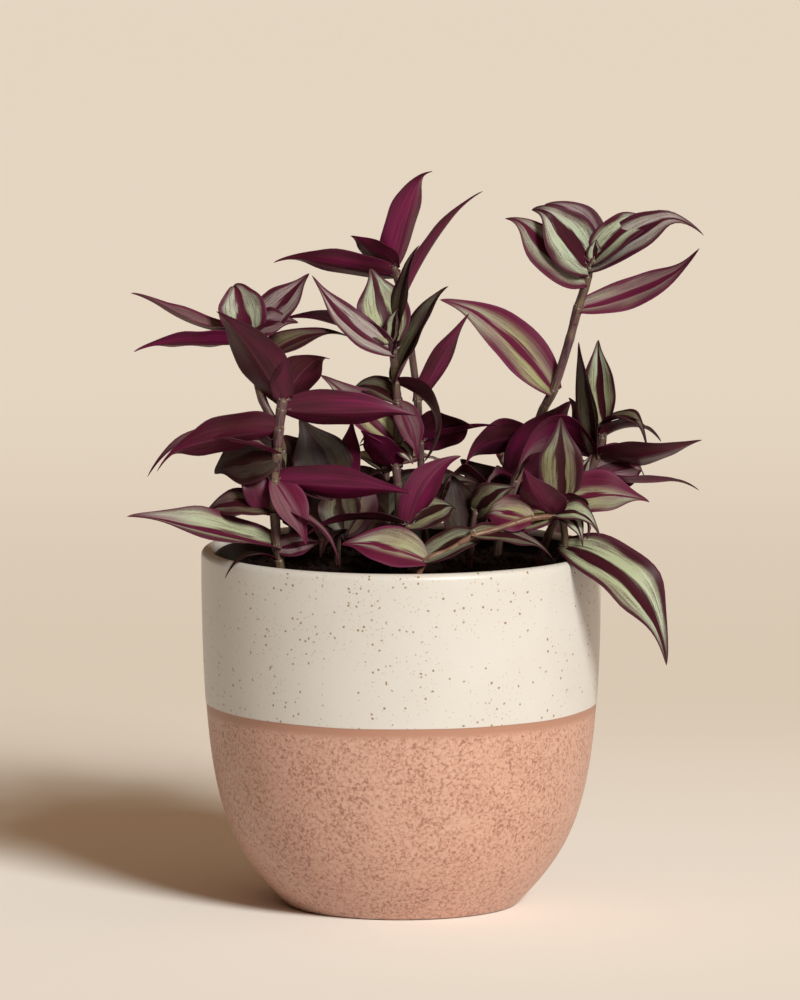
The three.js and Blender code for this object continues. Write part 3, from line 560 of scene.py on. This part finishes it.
      [2, [3, -8, -16], 18, [0, -1, 0.2], 1, 0, 1, 25, "olive"],
      [2, [25, 17, 8], 14, [0, 0, 1], 2, 0, 1, 25, "dark"],
      [1, [-18, 14, 6], 18, [0, -0.4, 1], 4, 0, 3, 20, "dark"],
      [1, [-6, -22, -3], 13, [0, -0.6, 1], 4, 0, 3, 25, "dark"],
      [1, [13, 12, 25], 21, [0, -1, 0.3], 0, 0, 2, 20, "olive"]]],
    ["stem_centre_right", 3,
     [[24, -14, 112], [26, -15, 138], [28, -16, 149], [32, -15, 157]],
     [[3, [-18, -2, -2], 18, [-0.1, 0.4, 1], 9, 0, 4, 15, "night"],
      [2, [14, -6, 12], 14, [0, -1, 0.6], 3, 0, 2, 20, "sage"],
      [3, [9, 9, 6], 12, [-0.4, 0.4, 0.8], 3, 0, 2, 25, "silver"],
      [1, [-7, 4, 26], 18, [0.1, -1, 0.3], 0, 0, 2, 20, "dark"]]],
    ["stem_back_left", 3.1,
     [[-38, 28, 112], [-41, 32, 138], [-43, 35, 150], [-44, 36, 158]],
     [[3, [-8, 34, 0], 19, [0, 0.2, 1], 4, 0, 4, 25, "brown"],
      [3, [4, 34, 8], 19, [0, 0.2, 1], 4, 0, 4, 25, "cream"],
      [2, [-14, 36, -4], 20, [0, 0.3, 1], 5, 0, 5, 22, "sage"],
      [1, [-30, 10, -3], 18, [-0.2, 0, 1], 6, 0, 3, 22, "blush"],
      [3, [-4, 4, 10], 11, [0.2, -1, 0.3], 0, 0, 2, 30, "silver"],
      [3, [22, 14, 8], 18, [0, 0.2, 1], 4, 0, 4, 25, "wine"],
      [1, [13, -14, 24], 22, [0, -1, 0.4], 0, 0, 2, 20, "dark"]]],
    ["stem_back", 3.1,
     [[-4, 42, 112], [-5, 45, 137], [-6, 47, 148], [-6, 49, 156], [-5.5, 50, 161]],
     [[3, [24, 26, 0], 19, [0.2, 0.2, 1], 4, 0, 4, 25, "cream"],
      [3, [-26, 22, 2], 19, [-0.2, 0.2, 1], 4, 0, 4, 25, "silver"],
      [4, [4, 32, 4], 18, [0, 0.3, 1], 4, 0, 5, 25, "pearl"],
      [2, [-12, 38, -8], 20, [0, 0.3, 1], 6, 0, 4, 22, "sage"],
      [4, [6, -12, 5], 15, [0, -1, 0.4], 0, 0, 2, 28, "lilac"],
      [4, [-10, 8, 6], 13, [0.5, -0.5, 0.5], 0, 0, 2, 30, "silver"],
      [1, [10, 38, -14], 20, [0, 0.5, 1], 9, 0, 3, 20, "blush"],
      [1, [-22, -14, 27], 23, [0.2, -1, 0.4], 0, 0, 2, 20, "dark"],
      [1, [20, -12, 25], 23, [-0.2, -1, 0.4], 0, 0, 2, 20, "night"],
      [1, [-8, -25, -5], 18, [0, -0.3, 1], 2, 0, 3, 20, "dark"]]],
    ["stem_back_right", 3.1,
     [[34, 44, 112], [38, 48, 139], [41, 51, 149], [43, 53, 156]],
     [[3, [32, 14, 0], 19, [0.2, 0.1, 1], 4, 0, 4, 25, "silver"],
      [3, [4, 36, 4], 19, [0, 0.3, 1], 4, 0, 4, 25, "cream"],
      [2, [30, 26, -6], 20, [0.2, 0.2, 1], 6, 0, 4, 22, "blush"],
      [3, [-4, 4, 8], 11, [0.3, -0.8, 0.4], 0, 0, 2, 30, "silver"],
      [1, [26, 28, -24], 20, [0.6, 0.6, 0.6], 10, 0, 2, 20, "sage"],
      [2, [-8, 36, -8], 18, [0, 0.3, 1], 5, 0, 4, 25, "cream"],
      [1, [-15, -12, 25], 22, [0.2, -1, 0.4], 0, 0, 2, 20, "dark"],
      [1, [18, -14, 19], 21, [0, -1, 0.4], 0, 0, 2, 20, "olive"],
      [1, [-12, -26, -4], 18, [0, -0.3, 1], 2, 0, 3, 20, "dark"]]],
]

# Lengths in mm, angles in degrees, and the rest as shares of a blade's length or half width
leafShape = {
    "rows": 26, "across": [-1, -0.94, -0.74, -0.45, -0.16, 0.16, 0.45, 0.74, 0.94, 1],
    "lead": 0.02, "rise": 0.46, "fall": 0.72, "pinch": 0.55, "pinchSpan": [0.52, 0.92],
    "keel": 0.12, "hookStart": 0.7, "foldAtRoot": 0.3, "rootUntil": 0.35, "foldAtTip": 0.4,
    "tipFrom": 0.65, "curl": 0.12, "curlVary": [0.5, 1.5], "ripple": 0.06, "waves": [1.6, 2.6],
    "waveShift": 0.2, "twist": 20, "twistPower": 1.5, "thick": 0.55, "thinning": 0.6,
    "tipHalf": 0.05, "tipThick": 0.03, "rootSink": 0.9,
    "vary": [0.10, 0.18, 0.12, 0.12], "leanVary": 0.3,
}


# A blade. Midrib: base + t * reach + 4t(1 - t) * (arch * up + bend * side) - hook * raised * h^2, where
# h is the share of t past hookStart and raised is midway from up to the upright. Half width:
# (t + lead)^rise * (1 - t)^fall over its largest value, and drawn in by pinch towards the tip.
# Across, v from -1 to 1: out by v, up by sqrt(v^2 + keel^2) - keel along the fold, down by
# curl * v^2, and up and down along the margin by ripple * v^2. Upper face, then the under face.
def leafBlade(base, leaf, rng):
    _, reach, width, face, arch, bend, hook, fold, look = leaf
    shape = leafShape
    reach = np.asarray(reach, float)
    along = unit(reach)
    up = np.asarray(face, float)
    up = unit(up - up @ along * along)
    side = np.cross(along, up)
    raised = unit(up + [0, 0, 1])

    # half width at t, before it is scaled to the leaf's width
    def outline(t):
        return (t + shape["lead"]) ** shape["rise"] * (1 - t) ** shape["fall"]

    def midrib(t):
        bow = (4 * t * (1 - t))[:, None]
        past = np.clip((t - shape["hookStart"]) / (1 - shape["hookStart"]), 0, None)[:, None] ** 2
        return base + t[:, None] * reach + bow * (arch * up + bend * side) - hook * past * raised

    # the rows lie closer together towards the root and the tip
    s = np.linspace(0, 1, shape["rows"])
    t = 0.5 * s + 0.25 * (1 - np.cos(np.pi * s))
    centre = midrib(t)
    near = 1e-3
    tangent = unit(midrib(t + near) - midrib(t - near))
    out = unit(side - (tangent @ side)[:, None] * tangent)
    over = np.cross(out, tangent)
    twist = np.radians(rng.uniform(-1, 1) * shape["twist"]) * t[:, None] ** shape["twistPower"]
    cosine, sine = np.cos(twist), np.sin(twist)
    out, over = cosine * out + sine * over, cosine * over - sine * out

    widest = shape["rise"] / (shape["rise"] + shape["fall"])
    half = width / 2 * outline(t) / outline(widest)
    half *= 1 - shape["pinch"] * smooth(t, *shape["pinchSpan"])
    half = half[:, None] + shape["tipHalf"]
    folded = 1 + shape["foldAtRoot"] * (1 - smooth(t, 0, shape["rootUntil"]))
    folded = folded + shape["foldAtTip"] * smooth(t, shape["tipFrom"], 1)
    folded = np.radians(fold) * folded[:, None]
    v = np.asarray(shape["across"], float)
    lift = np.sin(folded) * (np.hypot(v, shape["keel"]) - shape["keel"])
    lift = lift - shape["curl"] * rng.uniform(*shape["curlVary"]) * v ** 2
    turns = rng.uniform(*shape["waves"]) * t[:, None] + rng.uniform() + shape["waveShift"] * np.sign(v)
    lift = lift + shape["ripple"] * np.sin(2 * np.pi * turns) * v ** 2
    middle = centre[:, None] + (half * v * np.cos(folded))[..., None] * out[:, None] \
        + (half * lift)[..., None] * over[:, None]
    thinning = shape["thinning"]
    thick = shape["thick"] / 2 * (1 - thinning * v ** 2) * (1 - thinning * t[:, None] ** 2)
    rise = np.minimum(thick, half / 2 + shape["tipThick"])[..., None] * over[:, None]
    grid = np.concatenate([middle + rise, (middle - rise)[:, ::-1]], axis=1)
    grid[0] -= shape["rootSink"] * along

    share = np.concatenate([(v + 1) / 2, (v[::-1] + 1) / 2])
    part = skin(grid, t, roundValues=np.append(share, share[0]))
    part["slots"] = np.concatenate([np.where(part["columns"] < len(v) - 1, 0, 1), [1, 1]])
    strength, greenness, brightness, under, lean = leafLooks[look]
    vary = rng.uniform(-1, 1, 4) * shape["vary"]
    values = [strength * (1 + vary[0]), greenness + vary[1], brightness + vary[2], rng.uniform()]
    count = len(part["places"])
    part["look"] = np.tile(np.clip(values, 0, 1), (count, 1))
    part["under"] = np.full(count, np.clip(under + vary[3], 0, 1))
    part["lean"] = np.full(count, lean + rng.uniform(-shape["leanVary"], shape["leanVary"]))
    return part


stemShape = {
    "seed": 100, "sides": 16, "perSpan": 12, "slim": 0.95, "swell": 0.08, "swellReach": 1.5, "tip": 1.4,
    "tipRadius": 0.45, "pale": 0.35, "paleFrom": 2.2, "paleReach": 1.8,
    "sheath": 7.5, "sheathFrom": 0.5, "sheathRows": 7, "sheathAbove": 0.8, "sheathFoot": 0.99,
    "sheathMouth": 1.11, "sheathEdge": 0.93, "sheathPale": 0.2,
    "hairs": 14, "hairLength": 2.4, "hairVary": [0.45, 1], "hairRadius": 0.06,
    "hairOut": [0.5, 1.2], "hairUp": 0.9, "hairStray": 0.25,
}


# The path of a stem, its distance from the root, and the two directions square to it at each point
def stemPath(joints):
    path = curveThrough(joints, stemShape["perSpan"])
    path = np.vstack([path, path[-1] + stemShape["tip"] * unit(path[-1] - path[-2])])
    tangent = unit(np.gradient(path, axis=0))
    across = unit(np.array([1.0, 0, 0]) - tangent[:, :1] * tangent)
    far = np.concatenate([[0], np.cumsum(np.linalg.norm(np.diff(path, axis=0), axis=1))])
    return path, far, across, np.cross(tangent, across)


# Rings of the given radii round a path: path + radius * (cos(turn) * across + sin(turn) * over)
def tube(path, across, over, radius, sides):
    turn = np.arange(sides) / sides * 2 * np.pi
    ring = np.cos(turn)[:, None] * across[:, None] + np.sin(turn)[:, None] * over[:, None]
    return path[:, None] + np.asarray(radius)[:, None, None] * ring


# How near each point is to a joint, and whether the stem is the old, trailing one, for the colours
def withStemValues(part, joint, old):
    part["joint"] = np.asarray(joint, float)
    part["old"] = np.full(len(part["places"]), float(old))
    return part


# A stem swells at each joint by swell * exp(-(distance / swellReach)^2), and tapers at its tip
def stalk(joints, thickness, old):
    shape = stemShape
    path, far, across, over = stemPath(joints)
    apart = far[:, None] - far[shape["perSpan"]::shape["perSpan"]][:-1]
    swell = np.exp(-(apart / shape["swellReach"]) ** 2).max(axis=1)
    radius = thickness / 2 * (shape["slim"] + shape["swell"] * swell)
    radius[-1] *= shape["tipRadius"]
    pale = shape["pale"] * np.exp(-((apart - shape["paleFrom"]) / shape["paleReach"]) ** 2).max(axis=1)
    part = skin(tube(path, across, over, radius, shape["sides"]), far / uvSpan)
    return withStemValues(part, np.repeat(pale, shape["sides"]), old)


# A sheath wraps the stem below each leaf: a sleeve whose width goes from sheathFoot to sheathMouth
# as the square of the share of its height
def sheath(joints, place, thickness, old):
    shape = stemShape
    path, far, across, over = stemPath(joints)
    top = np.interp(place * shape["perSpan"], np.arange(len(far)), far) + shape["sheathAbove"]
    at = np.linspace(max(top - shape["sheath"], shape["sheathFrom"]), top, shape["sheathRows"])

    def between(values):
        return np.stack([np.interp(at, far, values[:, k]) for k in range(3)], axis=1)

    share = np.linspace(0, 1, shape["sheathRows"])
    wide = shape["sheathFoot"] + (shape["sheathMouth"] - shape["sheathFoot"]) * share ** 2
    wide[0] = shape["sheathEdge"]
    grid = tube(between(path), unit(between(across)), unit(between(over)), thickness / 2 * wide,
                shape["sides"])
    pale = np.repeat(shape["sheathPale"] * share ** 3, shape["sides"])
    return withStemValues(skin(grid, at / uvSpan), pale, old), grid[-1]


# Many small closed shapes in one part: the same faces, by corner, for each row of places
def scattered(places, corners, slot):
    count, each = places.shape[:2]
    faces = (np.asarray(corners) + each * np.arange(count)[:, None, None]).reshape(-1, 3).tolist()
    return {"places": places.reshape(-1, 3), "faces": faces, "uv": np.zeros((3 * len(faces), 2)),
            "slots": np.full(len(faces), slot)}


# Hairs round the mouth of a sheath: thin three-sided spikes that lean out and up
def mouthHairs(mouth, rng, old):
    shape = stemShape
    middle = mouth.mean(axis=0)
    count = shape["hairs"]
    foot = mouth[rng.integers(0, len(mouth), count)]
    outward = unit(foot - middle) * rng.uniform(*shape["hairOut"], (count, 1))
    lean = unit(outward + np.array([0, 0, shape["hairUp"]])
                + rng.normal(0, shape["hairStray"], (count, 3)))
    length = shape["hairLength"] * rng.uniform(*shape["hairVary"], (count, 1))
    # any direction that no hair lies along gives one square to it
    across = unit(np.cross(lean, [0.3, 0.5, 0.8]))
    ring = tube(foot, across, np.cross(lean, across), np.full(count, shape["hairRadius"]), 3)
    places = np.concatenate([ring, (foot + length * lean)[:, None]], axis=1)
    part = scattered(places, [[0, 1, 3], [1, 2, 3], [2, 0, 3], [2, 1, 0]], 1)
    return withStemValues(part, np.zeros(4 * count), old)


# Every stem with its leaves, sheaths and hairs; a branch joins the pieces of the stem before it
def leafyStems():
    skins = [makeMaterial(leafUpperSkin), makeMaterial(leafUnderSkin)]
    bark = [makeMaterial(fleshyStem), makeMaterial(leafHair)]
    plants = []
    for number, (name, thickness, joints, leaves) in enumerate(stems):
        if not name.startswith("branch"):
            plants.append((name, [], []))
        _, blades, stalks = plants[-1]
        rng = np.random.default_rng(stemShape["seed"] + number)
        joints = np.asarray(joints, float)
        old = name == "stem_trailing"
        stalks.append(stalk(joints, thickness, old))
        for leaf in leaves:
            below = min(int(leaf[0]), len(joints) - 2)
            base = joints[below] + (joints[below + 1] - joints[below]) * (leaf[0] - below)
            blades.append(leafBlade(base, leaf, rng))
        for place in sorted({leaf[0] for leaf in leaves}):
            sleeve, mouth = sheath(joints, place, thickness, old)
            stalks += [sleeve, mouthHairs(mouth, rng, old)]
    for node, blades, stalks in plants:
        makePiece("leaves." + node, blades, skins, [node], ["look", "under", "lean"])
        makePiece("stalk." + node, stalks, bark, [node], ["joint", "old"])
    print("leafy stems", len(plants), "leaves", sum(len(blades) for _, blades, _ in plants))


leafyStems()


# pots and soil

potShape = {
    "height": 134, "rim": 75, "foot": 44, "footRound": [[-0.9, 0], [-0.2, 0.12]], "wall": 4.6,
    "floor": 7, "floorRound": 0.5, "flatWithin": 30, "lip": 2.6, "lipArc": [12, 168, 14],
    "bellyFlare": 1.54, "bellyLow": 0.182, "bellyHigh": 0.289, "bellyFoot": 0.7, "bellyInside": 0.3,
    "sideSteps": 400, "sides": 200, "insideRings": 40, "lastRings": [78, 30],
    "rings": [[0.5, 12, 24], [13, 74.6, 60], [74.8, 77.46, 20]],
    "dip": 76.3, "dipWander": 0.3, "wanderWaves": [[2, 0.6, 0.5], [5, 2, 0.3], [11, 0, 0.2]],
    "glazeStep": 0.22, "glazeEdge": [-0.1, 0.45], "unglazed": -20,
}


# The same Bezier side as the CAD's, drawn in by inset, as radius for each height
def potSide(inset, foot, top, heights):
    shape = potShape
    height = shape["height"]
    line = bezier([
        [shape["foot"] - inset, foot],
        [shape["foot"] * shape["bellyFlare"] - inset, foot + height * shape["bellyLow"]],
        [shape["rim"] - shape["bellyInside"] - inset,
         foot * shape["bellyFoot"] + height * shape["bellyHigh"]],
        [shape["rim"] - inset, top]], shape["sideSteps"])
    return np.stack([np.interp(heights, line[:, 1], line[:, 0]), heights], axis=1)


# The dip line wanders by dipWander times a sum of sin(waves * turn + phase) * part, and the pale
# glaze above it stands glazeStep proud of the pink below. Each run of rings goes from a height to a
# height in so many rings, which lie closest together near the foot and at the line.
def glazedPot():
    shape = potShape
    rim, foot, wall, floor = [shape[key] for key in ("rim", "foot", "wall", "floor")]
    lipStart = shape["height"] - shape["lip"]
    start, count = shape["lastRings"]
    heights = np.concatenate([np.linspace(*run) for run in shape["rings"] + [[start, lipStart, count]]])
    outside = potSide(0, 0, lipStart, heights)
    arc = np.radians(np.linspace(*shape["lipArc"]))
    lip = np.stack([rim - wall / 2 * (1 - np.cos(arc)), lipStart + shape["lip"] * np.sin(arc)], axis=1)
    inside = potSide(wall, floor, lipStart,
                     np.linspace(lipStart, floor + shape["floorRound"], shape["insideRings"]))
    edge = shape["footRound"] + np.array([foot, 0])
    flatFloor = [[foot - wall, floor], [shape["flatWithin"], floor]]
    profile = np.vstack([edge, outside, lip, inside, flatFloor])
    grid = turned(profile, shape["sides"])
    turn = np.arctan2(grid[..., 1], grid[..., 0])
    wander = sum(np.sin(waves * turn + phase) * part for waves, phase, part in shape["wanderWaves"])
    drop = shape["dip"] + shape["dipWander"] * wander - grid[..., 2]
    drop[len(edge) + len(outside):] = shape["unglazed"]
    inset = shape["glazeStep"] * smooth(drop, *shape["glazeEdge"])
    grid[..., :2] *= (1 - inset / np.linalg.norm(grid[..., :2], axis=-1))[..., None]
    part = skin(grid, profile[:, 1] / uvSpan)
    part["drop"] = drop.ravel()
    makePiece("glazedPot", [part], [makeMaterial(stonewareGlaze)], ["pot"], ["drop"])
    print("glazed pot")


nurseryShape = {
    "floor": 7.3, "foot": 38, "footRound": [1, 0.8], "shoulder": 67.4, "rim": 69.7,
    "rimRound": [0.3, 0.4], "top": 132.2, "rollSteps": 9, "skirt": 8, "wall": 1.4, "sides": 144,
}


# The nursery pot: a plain cone with a wall of even thickness, and round its top a thicker skirt
# that narrows to a rolled edge
def nurseryPot():
    shape = nurseryShape
    floor, foot, shoulder, rim = [shape[key] for key in ("floor", "foot", "shoulder", "rim")]
    top, wall = shape["top"], shape["wall"]
    skirt, roll = top - shape["skirt"], wall / 2
    footIn, footUp = shape["footRound"]
    rimIn, rimUp = shape["rimRound"]
    arc = np.radians(np.linspace(0, 180, shape["rollSteps"]))
    profile = np.vstack([
        [[foot - footIn, floor], [foot, floor + footUp], [shoulder, skirt], [rim - rimIn, skirt],
         [rim, skirt + rimUp]],
        np.stack([rim - roll * (1 - np.cos(arc)), top - roll + roll * np.sin(arc)], axis=1),
        [[shoulder - wall, skirt], [foot - wall, floor + wall]]])
    part = skin(turned(profile, shape["sides"]), profile[:, 1] / uvSpan)
    black = makeMaterial(mouldedPolypropylene)
    makePiece("nurseryPot", [part], [black], ["grow_pot"])
    print("nursery pot")


soilShape = {
    "level": 125.6, "mound": 3.3, "edge": 64.9, "edgeTop": 122.7, "bottom": 9.1, "bottomRadius": 36.2,
    "ripple": 1.1, "clod": 16, "clodSeed": 5, "clodOctaves": 4, "innerRing": 0.6, "rings": 44,
    "sides": 150, "crumbs": 900, "crumbSeed": 21, "crumbSize": [0.5, 1.9], "crumbsWithin": 61.5,
    "crumbRise": 0.15, "crumbStretch": [0.55, 1.25], "crumbDents": [0.75, 1.2],
}


# Height of the soil: level, plus mound * (1 - (r / edge)^2), plus a crumbly unevenness
def soilTop(x, y):
    shape = soilShape
    place = np.stack([x, y, 0 * x], axis=-1)
    uneven = rough(place, shape["clod"], shape["clodSeed"], shape["clodOctaves"]) * shape["ripple"]
    return shape["level"] + shape["mound"] * (1 - (x * x + y * y) / shape["edge"] ** 2) + uneven


# Small lumps strewn over the soil: stretched icosahedrons, each corner pushed in or out at random
def crumbs():
    seedShape = bmesh.new()
    bmesh.ops.create_icosphere(seedShape, subdivisions=1, radius=1)
    corners = np.array([corner.co for corner in seedShape.verts])
    triangles = [[corner.index for corner in face.verts] for face in seedShape.faces]
    seedShape.free()
    shape = soilShape
    count = shape["crumbs"]
    rng = np.random.default_rng(shape["crumbSeed"])
    r = shape["crumbsWithin"] * np.sqrt(rng.uniform(0, 1, count))
    turn = rng.uniform(0, 2 * np.pi, count)
    x, y = r * np.cos(turn), r * np.sin(turn)
    wide = rng.uniform(*shape["crumbSize"], count)
    middle = np.stack([x, y, soilTop(x, y) + shape["crumbRise"] * wide], axis=1)
    stretch = rng.uniform(*shape["crumbStretch"], (count, 1, 3))
    dents = rng.uniform(*shape["crumbDents"], (count, len(corners), 1))
    lumps = wide[:, None, None] * corners * (stretch * dents)
    return scattered(middle[:, None] + lumps, triangles, 0)


# The soil fills the nursery pot and closes round the stalks, with loose crumbs half sunk in its top
def pottedSoil():
    shape = soilShape
    rings = np.linspace(shape["innerRing"], shape["edge"], shape["rings"])
    top = turned(np.stack([rings, 0 * rings], axis=1), shape["sides"])
    top[..., 2] = soilTop(top[..., 0], top[..., 1])
    side = turned([[shape["edge"], shape["edgeTop"]], [shape["bottomRadius"], shape["bottom"]]],
                  shape["sides"])
    grid = np.concatenate([top, side])[::-1]
    peat = makeMaterial(pottingMix)
    makePiece("soilBody", [skin(grid, np.linspace(0, 1, len(grid)))], [peat], ["soil"])
    makePiece("soilCrumbs", [crumbs()], [peat], [])
    print("soil, crumbs", shape["crumbs"])


glazedPot()
nurseryPot()
pottedSoil()


# floor, light and camera

stageLook = {
    "floor": "#F9F6F3", "paperBendShade": "#ECE6DD", "floorFar": "#F9F6F0", "bendShadeAway": [0.1, 0.55],
    "farAway": [0.6, 1.7], "halfSide": 9, "under": -0.0002,
    "fill": "#FFCD9F", "fillLevel": 0.055, "fillAbove": 0.29, "fillRight": 0.17, "fillLeast": 0.02,
    "key": "#FFFFF6", "keyTurn": 31, "keyHeight": 32, "keySoftness": 17, "keyStrength": 3.5,
    "lens": 387.8, "sensor": 36, "sight": 40,
    "camera": [-0.0005, -4.0, 0.674], "aim": [-0.0005, 0, 0.152],
}


# Seamless paper, coloured a little duller where such paper would bend up behind the pot: a painted
# shade band for the light falling off at the bend
def seamlessPaper(add):
    away = add("SeparateXYZ", [add("TexCoord").outputs["Object"]]).outputs[1]
    bend, far = [add("MapRange", [away, *stageLook[span]], interpolation_type="SMOOTHSTEP")
                 for span in ("bendShadeAway", "farAway")]
    # the duller band is painted shade, where the light would fall off as the paper bends up
    colour = layered(add, stageLook["floor"], (bend, stageLook["paperBendShade"]),
                     (far, stageLook["floorFar"]))
    return add("BsdfPrincipled", {"Base Color": colour, "Roughness": 0.9, "Specular IOR Level": 0.1})


# The paper is one flat square, so large that it is also the background
def paperFloor():
    half, under = stageLook["halfSide"], stageLook["under"]
    mesh = bpy.data.meshes.new("paper")
    mesh.from_pydata([(-half, -half, under), (half, -half, under), (half, half, under),
                      (-half, half, under)], [], [(0, 1, 2, 3)])
    mesh.materials.append(makeMaterial(seamlessPaper))
    floor = bpy.data.objects.new("paper", mesh)
    bpy.context.scene.collection.objects.link(floor)


# A lamp or camera at a place, turned so that its given axis points along a direction
def pointed(name, data, direction, axis, place=(0, 0, 0)):
    thing = bpy.data.objects.new(name, data)
    thing.location = place
    thing.rotation_mode = "QUATERNION"
    thing.rotation_quaternion = Vector(direction).to_track_quat(axis, "Y")
    bpy.context.scene.collection.objects.link(thing)
    return thing


# One soft key from the front right, and a warm fill from all round. Its strength in a direction is
# level + above * z + right * x, but not under fillLeast, so that it comes from above and the right
def studioLight():
    look = stageLook
    turn, height = math.radians(look["keyTurn"]), math.radians(look["keyHeight"])
    toLight = (math.sin(turn) * math.cos(height), -math.cos(turn) * math.cos(height), math.sin(height))
    key = bpy.data.lights.new("key", "SUN")
    key.energy = look["keyStrength"]
    key.color = linear(look["key"])[:3]
    key.angle = math.radians(look["keySoftness"])
    pointed("key", key, toLight, "Z")
    world = bpy.data.worlds.new("studio")
    world.use_nodes = True
    world.node_tree.nodes.clear()
    add = partial(addNode, world.node_tree)
    right, _, above = add("SeparateXYZ", [add("TexCoord").outputs["Generated"]]).outputs
    level = weightedSum(add, look["fillLevel"], (above, look["fillAbove"]), (right, look["fillRight"]))
    level = add("Math", [level, look["fillLeast"]], operation="MAXIMUM")
    add("OutputWorld", [add("Background", {"Color": look["fill"], "Strength": level})])
    bpy.context.scene.world = world
    bpy.context.scene.view_settings.view_transform = "Standard"


# Long lens, 4 m in front of the pot and looking a little down on it
def photoCamera():
    look = stageLook
    data = bpy.data.cameras.new("camera")
    data.lens = look["lens"]
    data.sensor_width = look["sensor"]
    data.clip_end = look["sight"]
    direction = Vector(look["aim"]) - Vector(look["camera"])
    bpy.context.scene.camera = pointed("camera", data, direction, "-Z", look["camera"])


paperFloor()
studioLight()
photoCamera()
